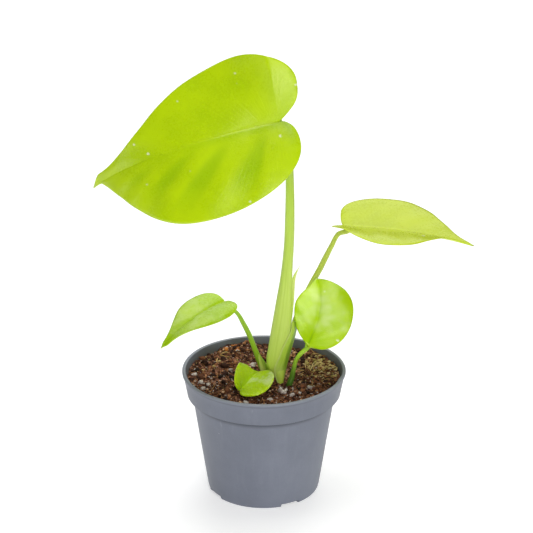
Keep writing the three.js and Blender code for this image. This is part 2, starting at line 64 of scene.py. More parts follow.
class Slot(Enum):
    """The record's material slots."""

    LEAF = "leaf"
    STALK = "stalk"
    SOIL = "soil"
    POT = "pot_plastic"


class Side(Enum):
    """The halves of a blade, as seen from its stalk, and which way each lies from the midrib."""

    LEFT = 1
    RIGHT = -1


def colour(code: str) -> Colour:
    """Turns a screen colour into the linear one that shaders use.

    Args:
        code: Six hexadecimal digits.

    Returns:
        Red, green, blue and a full alpha.
    """
    shares = [int(code[i : i + 2], 16) / 255 for i in (0, 2, 4)]
    linear = [s / 12.92 if s <= 0.04045 else ((s + 0.055) / 1.055) ** 2.4 for s in shares]
    return (linear[0], linear[1], linear[2], 1.0)


def smooth(value: Array, low: float, high: float) -> Array:
    """Rises smoothly from 0 at low to 1 at high.

    Args:
        value: Where to read the step.
        low: Where it starts.
        high: Where it ends; below low, the step falls instead.

    Returns:
        Shares from 0 to 1.
    """
    share = np.clip((value - low) / (high - low), 0, 1)
    return share * share * (3 - 2 * share)


class PlaneNoise:
    """Smooth seeded noise from -1 to 1 over a plane, one lump per unit."""

    SIZE = 256

    def __init__(self, seed: int) -> None:
        """Draws the lattice from its seed."""
        self.lattice = np.random.default_rng(seed).uniform(-1, 1, (self.SIZE, self.SIZE))

    def __call__(self, x: Array, y: Array) -> Array:
        """Reads the noise.

        Args:
            x: First coordinates.
            y: Second coordinates.

        Returns:
            One value for each place.
        """
        x, y = np.asarray(x, float), np.asarray(y, float)
        i, j = np.floor(x).astype(int), np.floor(y).astype(int)
        u, v = smooth(x - i, 0, 1), smooth(y - j, 0, 1)

        def corner(a: int, b: int) -> Array:
            """One corner of each place's cell."""
            return self.lattice[(i + a) % self.SIZE, (j + b) % self.SIZE]

        near = corner(0, 0) * (1 - u) + corner(1, 0) * u
        far = corner(0, 1) * (1 - u) + corner(1, 1) * u
        return near * (1 - v) + far * v


class Signal:
    """A shader value. Arithmetic on it adds Math nodes to its graph."""

    def __init__(self, graph: "Graph", socket: bpy.types.NodeSocket) -> None:
        """Wraps one output socket."""
        self.graph = graph
        self.socket = socket

    def math(self, operation: str, *operands: "Signal | float") -> "Signal":
        """Adds one Math node over these operands."""
        return self.graph.math(operation, *operands)

    def __add__(self, other: "Signal | float") -> "Signal":
        """Sum."""
        return self.math("ADD", self, other)

    def __sub__(self, other: "Signal | float") -> "Signal":
        """Difference."""
        return self.math("SUBTRACT", self, other)

    def __rsub__(self, other: float) -> "Signal":
        """Difference from a number."""
        return self.math("SUBTRACT", other, self)

    def __mul__(self, other: "Signal | float") -> "Signal":
        """Product."""
        return self.math("MULTIPLY", self, other)

    def __pow__(self, other: "Signal | float") -> "Signal":
        """Power."""
        return self.math("POWER", self, other)

    __radd__ = __add__
    __rmul__ = __mul__

    def wave(self) -> "Signal":
        """Goes from 1 at a whole number to 0 halfway to the next."""
        return self.math("COSINE", self * TURN) * 0.5 + 0.5

    def step(self, low: float, high: float) -> "Signal":
        """Rises smoothly from 0 at low to 1 at high, or falls if high is below low.

        Args:
            low: Where it starts.
            high: Where it ends.

        Returns:
            A value from 0 to 1.
        """
        if low > high:
            return 1 - self.step(high, low)
        settings = {"interpolation_type": "SMOOTHSTEP"}
        return self.graph.value("ShaderNodeMapRange", settings, {0: self, 1: low, 2: high})


class Graph:
    """One material and its nodes."""

    def __init__(self, name: str) -> None:
        """Starts a material with no nodes.

        Args:
            name: The material's name.
        """
        self.material = bpy.data.materials.new(name)
        self.material.use_nodes = True
        self.nodes = self.material.node_tree.nodes
        self.nodes.clear()

    def node(self, kind: str, settings: dict | None = None,
             inputs: dict | None = None) -> bpy.types.Node:
        """Adds any node.

        Args:
            kind: The node's type.
            settings: Its own settings, set first; "stops" are a ramp's places and colours.
            inputs: Values or signals by socket name or number.

        Returns:
            The node.
        """
        made = self.nodes.new(kind)
        for key, setting in (settings or {}).items():
            if key == "stops":
                self._stops(made.color_ramp, setting)
            else:
                setattr(made, key, setting)
        for key, given in (inputs or {}).items():
            if isinstance(given, Signal):
                self.material.node_tree.links.new(given.socket, made.inputs[key])
            else:
                made.inputs[key].default_value = given
        return made

    @staticmethod
    def _stops(ramp: bpy.types.ColorRamp, stops: Sequence[tuple[float, str]]) -> None:
        """Sets a ramp's stops.

        Args:
            ramp: The ramp.
            stops: Places and screen colours.
        """
        while len(ramp.elements) < len(stops):
            ramp.elements.new(1)
        for element, (place, code) in zip(ramp.elements, stops):
            element.position = place
            element.color = colour(code)

    def value(self, kind: str, settings: dict | None = None, inputs: dict | None = None,
              output: int | str = 0) -> Signal:
        """Adds any node and wraps one of its outputs."""
        return Signal(self, self.node(kind, settings, inputs).outputs[output])

    def math(self, operation: str, *operands: Signal | float) -> Signal:
        """Adds a Math node."""
        return self.value("ShaderNodeMath", {"operation": operation}, dict(enumerate(operands)))

    def attribute(self, name: str) -> Signal:
        """Reads one of the mesh's named point values."""
        return self.value("ShaderNodeAttribute", {"attribute_name": name}, None, "Fac")

    def place(self, stretch: tuple[float, float, float] = (1, 1, 1)) -> Signal:
        """Reads the place on the piece in metres.

        Args:
            stretch: What each axis is scaled by.

        Returns:
            The scaled place.
        """
        place = self.value("ShaderNodeTexCoord", None, None, "Object")
        if stretch == (1, 1, 1):
            return place
        return self.value("ShaderNodeVectorMath", {"operation": "MULTIPLY"}, {0: place, 1: stretch})

    def vector(self, x: Signal | float, y: Signal | float, z: Signal | float) -> Signal:
        """Joins three values into a vector."""
        return self.value("ShaderNodeCombineXYZ", None, {0: x, 1: y, 2: z})

    def noise(self, vector: Signal, scale: float, detail: float = 3, rough: float = 0.5) -> Signal:
        """Noise from 0 to 1, with this many lumps a unit."""
        inputs = {"Vector": vector, "Scale": scale, "Detail": detail, "Roughness": rough}
        return self.value("ShaderNodeTexNoise", None, inputs, 0)

    def cells(self, vector: Signal, scale: float, feature: str = "F1",
              output: str = "Distance") -> Signal:
        """Adds Voronoi cells.

        Args:
            vector: Where to read.
            scale: Cells a unit.
            feature: What is measured in each cell.
            output: Which output to read.

        Returns:
            That output.
        """
        inputs = {"Vector": vector, "Scale": scale}
        return self.value("ShaderNodeTexVoronoi", {"feature": feature}, inputs, output)

    def specks(self, vector: Signal, scale: float, share: float, size: float) -> Signal:
        """Scattered round specks.

        Args:
            vector: Where to read.
            scale: Cells a unit, each with one possible speck.
            share: The share of cells that have one.
            size: The radius of a speck, as a share of a cell.

        Returns:
            1 on a speck and 0 off it.
        """
        tint = self.cells(vector, scale, output="Color")
        chance = self.value("ShaderNodeSeparateColor", None, {0: tint}, 0)
        dot = self.cells(vector, scale).step(size, size * 0.45)
        return chance.step(share, share * 0.9) * dot

    def mix(self, factor: Signal | float, low: Signal | str, high: Signal | str) -> Signal:
        """Mixes two colours.

        Args:
            factor: The share of the second.
            low: The first, a signal or a screen colour.
            high: The second.

        Returns:
            The mixed colour.
        """
        low, high = (colour(given) if isinstance(given, str) else given for given in (low, high))
        return self.value("ShaderNodeMix", {"data_type": "RGBA"}, {0: factor, 6: low, 7: high}, 2)

    def ramp(self, factor: Signal, *stops: tuple[float, str]) -> Signal:
        """Looks a value up in a row of screen colours."""
        return self.value("ShaderNodeValToRGB", {"stops": stops}, {0: factor}, 0)

    def bump(self, height: Signal, distance: float, strength: float = 1.0) -> Signal:
        """Turns heights into a normal; distance is how high a height of 1 stands, in millimetres."""
        inputs = {"Height": height, "Distance": distance * MM, "Strength": strength}
        return self.value("ShaderNodeBump", None, inputs)

    def finish(self, **inputs: "Signal | float | Colour") -> bpy.types.Material:
        """Ends the graph in a Principled surface.

        Args:
            inputs: Its sockets, with their spaces as underscores.

        Returns:
            The material.
        """
        named = {key.replace("_", " "): given for key, given in inputs.items()}
        shader = self.value("ShaderNodeBsdfPrincipled", None, named)
        self.node("ShaderNodeOutputMaterial", None, {0: shader})
        return self.material


@dataclass(frozen=True)
class LeafFinish:
    """A thin waxy blade: golden green with paler veins and underside, painted shade and sheen, and a paler
    margin that is partly painted highlight.
    """

    name: str
    deep: str
    light: str
    shade: str = "94be00"
    vein: str = "c8e034"
    under: str = "bcd84e"
    tip: str = "b9c98a"
    rib: str = "c8e034"
    rib_amount: float = 0.3
    rib_end: float = 0.45
    gloss: float = 0.24
    relief: float = 0.06
    fleck_share: float = 0.3
    painted_sheen: float = 0.0
    painted_sheen_scale: float = 95
    one_sided: bool = False
    veins: float = 9

    def material(self) -> bpy.types.Material:
        """Makes the blade's material.

        Returns:
            The material.
        """
        graph = Graph(self.name)
        place = graph.place()
        along, side, dip = (graph.attribute(key) for key in ("along", "side", "dip"))
        reach, under = graph.attribute("reach"), graph.attribute("under")
        row = graph.attribute("margin") * self.veins
        across = graph.math("ABSOLUTE", side)
        clouds = graph.noise(place, 60, 4, 0.55)
        grain = graph.noise(place, 900, 4, 0.6)
        face = graph.mix(clouds.step(0.34, 0.68) * 0.7, self.deep, self.light)
        inner = reach.step(0.02, 0.3) * reach.step(1.0, 0.7)
        valley = dip.step(0.03, 0.3) * reach.step(0.95, 0.5)
        # Painted shade: the valleys between side veins are mixed toward the shade colour.
        face = graph.mix(valley * 0.65, face, self.shade)
        lines = (row * 5 + graph.noise(place, 70, 2) * 1.4).wave() ** 3
        face = graph.mix(lines * inner * 0.03, face, self.vein)
        side_vein = row.wave() ** 60 * reach.step(0.0, 0.12) * reach.step(0.95, 0.5)
        face = graph.mix(side_vein * 0.04, face, self.vein)
        net = graph.cells(place, 620, "DISTANCE_TO_EDGE").step(0.1, 0.02)
        face = graph.mix(net * 0.03, face, self.vein)
        # Painted shade: a soft darker band just below the midrib on the left half, toward the stalk.
        below = side.step(0.2, 1.0) * side.step(4.5, 1.4) * along.step(0.7, 0.2)
        face = graph.mix(below * 0.35, face, self.shade)
        rib = across.step(0.75, 0.25) * along.step(self.rib_end, 0.08)
        face = graph.mix(rib * self.rib_amount, face, self.rib)
        if self.painted_sheen:
            # Painted sheen: soft pale patches of whitish green where highlights fall; one-sided leaves get
            # them on the right half only.
            pale = graph.noise(place, self.painted_sheen_scale, 3, 0.6).step(0.45, 0.62)
            pale = pale * along.step(0.08, 0.3) * along.step(0.95, 0.7)
            if self.one_sided:
                pale = pale * side.step(0.5, -2.5)
            face = graph.mix(pale * self.painted_sheen, face, "dcebaa")
        # Paler margin: partly the blade's own pale edge, partly a painted highlight along it.
        face = graph.mix(reach.step(0.975, 1.0) * 0.3, face, self.vein)
        face = graph.mix(along.step(0.955, 1.0) * 0.7, face, self.tip)
        fleck = graph.specks(graph.place((1, 0.6, 1.4)), 165, self.fleck_share, 0.15)
        fleck = fleck * grain.step(0.35, 0.5)
        face = graph.mix(fleck * 0.75, face, "eef3d8")
        dark = graph.specks(place, 190, 0.02, 0.05)
        face = graph.mix(dark * 0.7, face, "5c7410")
        back_rib = across.step(2.2, 0.7)
        back = graph.mix(back_rib * 0.5 + valley * 0.25 + net * 0.1, self.under, self.vein)
        base = graph.mix(under, face, back)
        height = net * -0.25 + lines * inner * 0.2 + grain * 0.2 - side_vein * 0.3 + clouds * 1.2
        rough = under * 0.16 + grain * 0.12 + clouds * 0.12 + (self.gloss - 0.08)
        return graph.finish(
            Base_Color=base,
            Roughness=rough,
            Normal=graph.bump(height, self.relief),
            Specular_IOR_Level=0.5,
            Specular_Tint=(1.0, 1.0, 0.6, 1.0),
            Subsurface_Weight=0.1,
            Subsurface_Radius=(1.0, 0.9, 0.1),
            Subsurface_Scale=0.8 * MM,
        )


@dataclass(frozen=True)
class StalkFinish:
    """A smooth stalk with fine lengthwise ribs, darker or paler at its foot, with painted shade on its far
    side.
    """

    name: str
    foot: str
    middle: str
    top: str
    shade: str
    foot_span: tuple[float, float] = (0.0, 0.32)
    shade_amount: float = 0.35
    speck: bool = False

    def material(self) -> bpy.types.Material:
        """Makes the stalk's material.

        Returns:
            The material.
        """
        graph = Graph(self.name)
        place = graph.place()
        along, around = graph.attribute("along"), graph.attribute("around")
        base = graph.mix(along.step(*self.foot_span), self.foot, self.middle)
        base = graph.mix(along.step(0.35, 0.9), base, self.top)
        ribs = graph.vector(around * 26, along * 3.2, 0.0)
        lines = graph.noise(ribs, 1.0, 4, 0.62)
        fine = graph.noise(graph.vector(around * 80, along * 9, 0.0), 1.0, 2)
        base = graph.mix(lines.step(0.42, 0.72) * 0.42, base, self.shade)
        base = graph.mix(fine.step(0.5, 0.75) * 0.18, base, "dce9a0")
        # Painted shade: the side of the stalk turned away from the camera is mixed toward the shade colour.
        base = graph.mix(around.wave() ** 2 * self.shade_amount, base, self.shade)
        clouds = graph.noise(place, 150, 3)
        base = graph.mix(clouds.step(0.55, 0.8) * 0.2, base, self.top)
        if self.speck:
            scar = graph.specks(place, 130, 0.1, 0.1)
            base = graph.mix(scar * 0.85, base, "3c3420")
        height = lines * 0.7 + fine * 0.3
        return graph.finish(
            Base_Color=base,
            Roughness=lines * 0.15 + 0.36,
            Normal=graph.bump(height, 0.1),
            Specular_IOR_Level=0.4,
            Subsurface_Weight=0.15,
            Subsurface_Radius=(1.0, 0.9, 0.3),
            Subsurface_Scale=1.2 * MM,
        )


@dataclass(frozen=True)
class SheathFinish:
    """A pale sheath: bright at its free edge, with fine stripes and a darker groove whose colour also paints
    shade over its far side.
    """

    name: str
    edge: str = "cfe07c"
    face: str = "a6c632"
    groove: str = "6a9600"
    foot: str = "c2d66a"

    def material(self) -> bpy.types.Material:
        """Makes the sheath's material.

        Returns:
            The material.
        """
        graph = Graph(self.name)
        down, across = graph.attribute("along"), graph.attribute("around")
        stripes = graph.noise(graph.vector(across * 30, down * 2.4, 0.0), 1.0, 4, 0.6)
        base = graph.mix(down.step(0.55, 0.95), self.face, self.foot)
        # Darker over the groove and the far side: partly the groove's own colour, partly painted shade on the
        # side turned away.
        groove = across.step(0.3, 0.55) * across.step(0.97, 0.8) * down.step(0.9, 0.55)
        base = graph.mix(groove * 0.85, base, self.groove)
        base = graph.mix(across.step(0.1, 0.0) * 0.9, base, self.edge)
        base = graph.mix(stripes.step(0.45, 0.75) * 0.2, base, self.edge)
        base = graph.mix(stripes.step(0.5, 0.3) * 0.2, base, self.groove)
        return graph.finish(
            Base_Color=base,
            Roughness=stripes * 0.15 + 0.36,
            Normal=graph.bump(stripes, 0.1),
            Specular_IOR_Level=0.4,
            Subsurface_Weight=0.12,
            Subsurface_Radius=(1.0, 0.9, 0.3),
            Subsurface_Scale=1.0 * MM,
        )


@dataclass(frozen=True)
class PotFinish:
    """Thin blue-grey moulded plastic with a satin grain, faint streaks, dust and scuffs."""

    name: str = "grey_pot_plastic"
    shell: str = "6c717e"
    pale: str = "7e8390"
    worn: str = "9ba0a8"
    dirt: str = "5f5a49"

    def material(self) -> bpy.types.Material:
        """Makes the pot's material.

        Returns:
            The material.
        """
        graph = Graph(self.name)
        place = graph.place()
        inside = graph.attribute("inside")
        height = graph.attribute("height")
        clouds = graph.noise(place, 32, 4, 0.6)
        streaks = graph.noise(graph.place((1, 1, 0.12)), 260, 3, 0.6)
        grain = graph.noise(place, 2600, 2, 0.7)
        base = graph.mix(clouds.step(0.35, 0.7) * 0.55, self.shell, self.pale)
        base = graph.mix(streaks.step(0.5, 0.75) * 0.07, base, self.worn)
        base = graph.mix(grain.step(0.45, 0.8) * 0.12, base, self.worn)
        # The outside is drawn paler along the top edge of the rim.
        edge = height.step(0.978, 0.998) * (1 - inside)
        base = graph.mix(edge * 0.6, base, self.worn)
        scratch = graph.noise(graph.place((1, 1, 0.25)), 420, 2, 0.4).step(0.7, 0.78)
        scuff = scratch * graph.noise(place, 70, 2).step(0.56, 0.7)
        base = graph.mix(scuff * 0.4, base, "b4b8be")
        dust = graph.specks(place, 420, 0.05, 0.16)
        base = graph.mix(dust * 0.5, base, "c8cacb")
        dark = graph.specks(place, 150, 0.035, 0.09)
        base = graph.mix(dark * 0.8, base, "2c2620")
        band = height.step(0.79, 0.82) * (1 - inside)
        base = graph.mix(band * 0.15, base, "565a64")
        # Painted shade: a dark line in the crease under the band.
        crease = height.step(0.745, 0.8) * height.step(0.812, 0.8) * (1 - inside)
        base = graph.mix(crease * 0.9, base, "3a3d45")
        # Painted shade: darker just under the overhanging lip.
        shade_below_lip = height.step(0.962, 0.974) * height.step(0.982, 0.976) * (1 - inside)
        base = graph.mix(shade_below_lip * 0.45, base, "4c5058")
        stain = inside * (height.step(1.0, 0.9) * 0.5 + clouds.step(0.4, 0.65) * 0.35)
        base = graph.mix(stain, base, self.dirt)
        relief = grain * 0.5 + streaks * 0.1 + scuff * 0.5
        return graph.finish(
            Base_Color=base,
            Roughness=clouds * 0.16 + grain * 0.1 + 0.36,
            Normal=graph.bump(relief, 0.05),
            Specular_IOR_Level=0.4,
        )


@dataclass(frozen=True)
class SoilFinish:
    """Dark fibrous potting mix, from near black to red brown."""

    name: str = "potting_mix"

    def material(self) -> bpy.types.Material:
        """Makes the ground's material.

        Returns:
            The material.
        """
        graph = Graph(self.name)
        place = graph.place()
        lumps = graph.noise(place, 420, 6, 0.72)
        fibres = graph.noise(graph.place((1, 3.5, 1)), 900, 3, 0.6)
        across = graph.noise(graph.place((4, 1, 1)), 700, 3, 0.6)
        tone = lumps * 0.7 + fibres * 0.2 + across * 0.1
        base = graph.ramp(tone, (0.38, "180f0a"), (0.45, "362018"), (0.52, "6b4534"),
                          (0.59, "a5765c"), (0.67, "dab69c"))
        base = graph.mix(graph.specks(place, 700, 0.05, 0.3) * 0.7, base, "c9bfae")
        return graph.finish(
            Base_Color=base,
            Roughness=lumps * 0.1 + 0.85,
            Normal=graph.bump(lumps * 0.8 + fibres * 0.3, 0.6),
            Specular_IOR_Level=0.15,
        )


@dataclass(frozen=True)
class CrumbFinish:
    """Loose bits of the mix, each with a tone of its own along a row of colours."""

    name: str
    stops: tuple[tuple[float, str], ...]
    grain_scale: float = 1500
    relief: float = 0.15

    def material(self) -> bpy.types.Material:
        """Makes the bits' material.

        Returns:
            The material.
        """
        graph = Graph(self.name)
        place = graph.place()
        grain = graph.noise(place, self.grain_scale, 4, 0.65)
        tone = graph.attribute("tone") + (grain - 0.5) * 0.35
        base = graph.ramp(tone, *self.stops)
        return graph.finish(
            Base_Color=base,
            Roughness=grain * 0.15 + 0.78,
            Normal=graph.bump(grain, self.relief),
            Specular_IOR_Level=0.2,
        )


@dataclass(frozen=True)
class PerliteFinish:
    """Chalky white grains with pores, and brown dust in their hollows."""

    name: str = "perlite"

    def material(self) -> bpy.types.Material:
        """Makes the grains' material.

        Returns:
            The material.
        """
        graph = Graph(self.name)
        place = graph.place()
        pores = graph.cells(place, 1900).step(0.1, 0.5)
        dust = graph.noise(place, 700, 4, 0.65)
        tone = graph.attribute("tone")
        base = graph.mix(tone, "b9a79c", "e2d9d3")
        base = graph.mix(dust.step(0.42, 0.62) * 0.6, base, "8a6c5a")
        base = graph.mix((1 - pores) * 0.25, base, "8b7c70")
        return graph.finish(
            Base_Color=base,
            Roughness=dust * 0.1 + 0.8,
            Normal=graph.bump(pores * 0.6 + dust * 0.6, 0.25),
            Specular_IOR_Level=0.25,
        )


@dataclass(frozen=True)
class FloorFinish:
    """Plain near-white studio paper."""

    name: str = "studio_paper"

    def material(self) -> bpy.types.Material:
        """Makes the floor's material.

        Returns:
            The material.
        """
        graph = Graph(self.name)
        fibre = graph.noise(graph.place(), 300, 2)
        base = graph.mix(fibre * 0.3, "dadada", "d7d7d7")
        glow = graph.mix(fibre * 0.3, "ffffff", "fdfdfd")
        return graph.finish(Base_Color=base, Roughness=0.95, Specular_IOR_Level=0.0,
                            Emission_Color=glow, Emission_Strength=0.54)


@dataclass
class Piece:
    """The points, faces and named point values of one piece, gathered in millimetres."""

    name: str
    points: list[Array] = field(default_factory=list)
    faces: list[list[int]] = field(default_factory=list)
    values: dict[str, list[Array]] = field(default_factory=dict)

    def add(self, points: Array, faces: Sequence[Sequence[int]], **values: Array | float) -> None:
        """Adds points and faces that count from these points.

        Args:
            points: Places, one row each.
            faces: Corners of each face; a corner named twice is dropped, and so is a flat face.
            values: Named values, one for each point or one for all.
        """
        start = sum(len(block) for block in self.points)
        self.points.append(np.asarray(points, float))
        for corners in np.asarray(faces, int).tolist() if isinstance(faces, Array) else faces:
            distinct = list(dict.fromkeys(corners))
            if len(distinct) > 2:
                self.faces.append([start + corner for corner in distinct])
        for key, given in values.items():
            spread = np.broadcast_to(given, len(points)).astype(float)
            self.values.setdefault(key, []).append(spread)

    def build(self, material: bpy.types.Material, slot: Slot, *nodes: str,
              crease: float | None = None) -> bpy.types.Object:
        """Makes the object, dresses it and lets it ride.

        Args:
            material: Its finish.
            slot: The record's slot that the finish belongs to.
            nodes: The nodes of the frame that it stands for.
            crease: The angle in degrees above which an edge stays sharp.

        Returns:
            The object.
        """
        mesh = mesh_of(self.name, np.vstack(self.points), self.faces)
        for key, blocks in self.values.items():
            put_values(mesh, key, np.concatenate(blocks))
        return settle(placed(self.name, mesh), material, slot, *nodes, crease=crease)


def mesh_of(name: str, points: Array, faces: Sequence[Sequence[int]]) -> bpy.types.Mesh:
    """Makes a mesh.

    Args:
        name: Its name.
        points: Places in millimetres, one row each.
        faces: Corners of each face.

    Returns:
        The mesh.
    """
    mesh = bpy.data.meshes.new(name)
    mesh.from_pydata((points * MM).tolist(), [], faces)
    return mesh


def placed(name: str, data: bpy.types.ID) -> bpy.types.Object:
    """Makes an object and puts it into the scene.

    Args:
        name: Its name.
        data: Its mesh, light or camera.

    Returns:
        The object.
    """
    made = bpy.data.objects.new(name, data)
    bpy.context.scene.collection.objects.link(made)
    return made


def put_values(mesh: bpy.types.Mesh, name: str, values: Array) -> None:
    """Stores one value for each point of a mesh."""
    stored = mesh.attributes.new(name, "FLOAT", "POINT")
    stored.data.foreach_set("value", values.astype(np.float32))


def settle(made: bpy.types.Object, material: bpy.types.Material, slot: Slot, *nodes: str,
           crease: float | None = None) -> bpy.types.Object:
    """Smooths, dresses and rides one object, and reports it.

    Args:
        made: The object.
        material: Its finish.
        slot: The record's slot that the finish belongs to; not used.
        nodes: The nodes of the frame that it stands for.
        crease: The angle in degrees above which an edge stays sharp.

    Returns:
        The same object.
    """
    mesh = made.data
    mesh.materials.clear()
    mesh.materials.append(material)
    mesh.shade_smooth()
    if crease is not None:
        mesh.set_sharp_from_angle(angle=math.radians(crease))
    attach(made, BODY)
    if nodes:
        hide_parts(*nodes)
    LOG.info("%s: %d triangles", made.name, sum(len(face.vertices) - 2 for face in mesh.polygons))
    points = np.array([vertex.co for vertex in mesh.vertices])
    for node in nodes:
        off = np.abs(np.array([points.min(0), points.max(0)]) - np.array(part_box(node))).max()
        LOG.info("%s: %.2f mm off the box of its node", made.name, off / MM)
    return made


def grid_faces(rows: int, columns: int, around: bool = False) -> Array:
    """Faces of a sheet of points in rows.

    Args:
        rows: Rows of points.
        columns: Points in a row.
        around: Whether each row closes on itself.

    Returns:
        Four corners a face.
    """
    steps = columns if around else columns - 1
    i, j = np.meshgrid(np.arange(rows - 1), np.arange(steps), indexing="ij")
    k = (j + 1) % columns
    corners = [i * columns + j, i * columns + k, (i + 1) * columns + k, (i + 1) * columns + j]
    return np.stack(corners, -1).reshape(-1, 4)


def point_normals(points: Array, faces: Sequence[Sequence[int]]) -> Array:
    """Works out the mean direction of the faces round each point.

    Args:
        points: Places, one row each.
        faces: Corners of each face.

    Returns:
        Unit directions, one row each.
    """
    normals = np.zeros_like(points)
    corners = np.array([[f[0], f[1], f[2], f[3] if len(f) > 3 else f[2]] for f in faces])
    p = points[corners]
    across = np.cross(p[:, 2] - p[:, 0], p[:, 3] - p[:, 1])
    for k in range(4):
        np.add.at(normals, corners[:, k], across)
    return normals / np.maximum(np.linalg.norm(normals, axis=1, keepdims=True), 1e-12)


def turned_by(vector: Array, axis: Array, angle: float) -> Array:
    """A vector turned about an axis by an angle in radians."""
    return np.array(Matrix.Rotation(angle, 3, Vector(axis)) @ Vector(vector))


def turn_about(angle: float, axis: str | Array) -> Array:
    """The matrix of a turn about an axis by an angle in radians."""
    return np.array(Matrix.Rotation(angle, 3, axis if isinstance(axis, str) else Vector(axis)))


@dataclass(frozen=True)
class HalfShape:
    """One half of a blade: its flat outline, how far its fold lifts it and how it droops."""

    width: float
    widest: float
    lobe: float
    lobe_out: float
    tail: float
    tail_width: float
    tail_slope: float
    fold_base: float
    fold: float
    fold_tip: float
    droop: float
    notch: float = 0.02

    def outline(self, length: float, count: int) -> Array:
        """Walks the flat margin from the stalk round the lobe to the tip.

        Args:
            length: The blade's length along its midrib.
            count: How many equal steps to take.

        Returns:
            Places along and across, one row each.
        """
        width, lobe, out = self.width, self.lobe, self.lobe_out
        widest, tail = self.widest * length, self.tail * length
        tail_at = length - tail
        pull = 0.38 * (tail_at - widest)
        curves = [
            [(0, 0), (-0.75 * lobe, self.notch * out), (-lobe, 0.45 * out), (-lobe, out)],
            [(-lobe, out), (-lobe, out + 0.55 * (width - out)),
             (widest - 0.55 * (widest + lobe), width), (widest, width)],
            [(widest, width), (widest + 0.5 * (tail_at - widest), width),
             (tail_at - pull, self.tail_width + 1.6 * pull * self.tail_slope), (tail_at, self.tail_width)],
            [(tail_at, self.tail_width),
             (tail_at + 0.3 * tail, self.tail_width - 0.18 * tail * self.tail_slope),
             (length - 0.35 * tail, 0.12 * self.tail_width), (length, 0)],
        ]
        t = np.linspace(0, 1, 80)[:, None]
        shares = ((1 - t) ** 3, 3 * (1 - t) ** 2 * t, 3 * (1 - t) * t * t, t**3)
        parts = [sum(share * point for share, point in zip(shares, np.array(curve, float)))
                 for curve in curves]
        return even_steps(np.vstack(parts), count)


def even_steps(points: Array, count: int) -> Array:
    """Walks a line of points in equal steps.

    Args:
        points: The line, one row for each point; its first three columns are the place.
        count: How many steps.

    Returns:
        The line with one more row than there are steps.
    """
    gaps = np.linalg.norm(np.diff(points[:, :3], axis=0), axis=1)
    walked = np.concatenate([[0], np.cumsum(gaps)])
    wanted = np.linspace(0, walked[-1], count + 1)
    return np.stack([np.interp(wanted, walked, column) for column in points.T], -1)


@dataclass(frozen=True)
class LeafShape:
    """A whole blade: where it starts, how its midrib runs and bends, and its two halves."""

    length: float
    junction: tuple[float, float, float]
    heading: float
    pitch: float
    roll: float
    arch: float
    arch_power: float
    sweep: float
    twist: float
    lobe_drop: float
    ripple: dict[Side, float]
    veins: tuple[float, ...]
    halves: dict[Side, HalfShape]

    STEPS = 60
    SWEEP_POWER = 1.2
    BASE_SHARE = 0.35
    TIP_SHARE = 0.4

    def frames(self) -> dict[str, Array]:
        """Walks the midrib.

        Returns:
            The place, the way along, the way to the left and the upper side at each step.
        """
        heading, pitch = math.radians(self.heading), math.radians(self.pitch)
        along = np.array([math.cos(pitch) * math.cos(heading), math.cos(pitch) * math.sin(heading),
                          math.sin(pitch)])
        level = np.array([-math.sin(heading), math.cos(heading), 0])
        left = turned_by(level, along, math.radians(self.roll))
        place = np.array(self.junction, float)
        rows = [(place, along, left)]
        shares = np.linspace(0, 1, self.STEPS + 1)
        bends = np.radians(self.arch) * np.diff(shares**self.arch_power)
        turns = np.radians(self.sweep) * np.diff(shares**self.SWEEP_POWER)
        for bend, turn in zip(bends, turns):
            before = along
            along = turned_by(along, left, bend)
            upper = np.cross(along, left)
            along, left = turned_by(along, upper, turn), turned_by(left, upper, turn)
            left = turned_by(left, along, math.radians(self.twist) / self.STEPS)
            middle = before + along
            place = place + middle / np.linalg.norm(middle) * self.length / self.STEPS
            rows.append((place, along, left))
        places, alongs, lefts = (np.array(column) for column in zip(*rows))
        return {"place": places, "along": alongs, "left": lefts, "upper": np.cross(alongs, lefts)}

    def bend(self, u: Array, v: Array, lift: Array) -> Array:
        """Carries flat places onto the bent blade.

        Args:
            u: Distances along the midrib.
            v: Distances to the left of it, below 0 on the right.
            lift: How far each place stands above the bent blade.

        Returns:
            Places, one row each.
        """
        frames = self.frames()
        share = np.clip(u / self.length, 0, 1)
        station = share * self.STEPS
        i = np.minimum(station.astype(int), self.STEPS - 1)
        f = (station - i)[:, None]
        at = {key: rows[i] * (1 - f) + rows[i + 1] * f for key, rows in frames.items()}
        back = np.maximum(-u, 0)
        reach = max(half.lobe for half in self.halves.values())
        drop = np.maximum(math.radians(self.lobe_drop) * back / max(reach, 1e-6), 1e-9)
        place = at["place"] - at["along"] * (back * np.sin(drop) / drop)[:, None]
        place -= at["upper"] * (back * (1 - np.cos(drop)) / drop)[:, None]

        def pick(key: str) -> Array:
            """One of the half's sizes for each place."""
            left, right = (getattr(self.halves[half], key) for half in Side)
            return np.where(v >= 0, left, right)

        at_base = np.maximum(1 - share / self.BASE_SHARE, 0) ** 2
        at_tip = np.maximum((share - (1 - self.TIP_SHARE)) / self.TIP_SHARE, 0) ** 2
        middle = pick("fold")
        fold = middle + (pick("fold_base") - middle) * at_base + (pick("fold_tip") - middle) * at_tip
        fold = np.radians(fold)
        curl = -np.radians(pick("droop")) / pick("width")
        end = fold + curl * np.abs(v)
        side = np.where(v >= 0, 1, -1)
        place += at["left"] * (side * (np.sin(end) - np.sin(fold)) / curl)[:, None]
        return place + at["upper"] * ((np.cos(fold) - np.cos(end)) / curl + lift)[:, None]


def vein_start(margin: Array) -> Array:
    """Works out where side veins leave the midrib.

    Args:
        margin: Where each meets the margin, from 0 at the stalk to 1 at the tip.

    Returns:
        Shares of the midrib's length.
    """
    lobe_share, crowd, spread = 0.2, 0.02, 2.4
    beyond = np.maximum(margin - lobe_share, 0) / (1 - lobe_share)
    further = crowd + (1 - crowd) * beyond**spread
    return np.where(margin < lobe_share, crowd * margin / lobe_share, further)


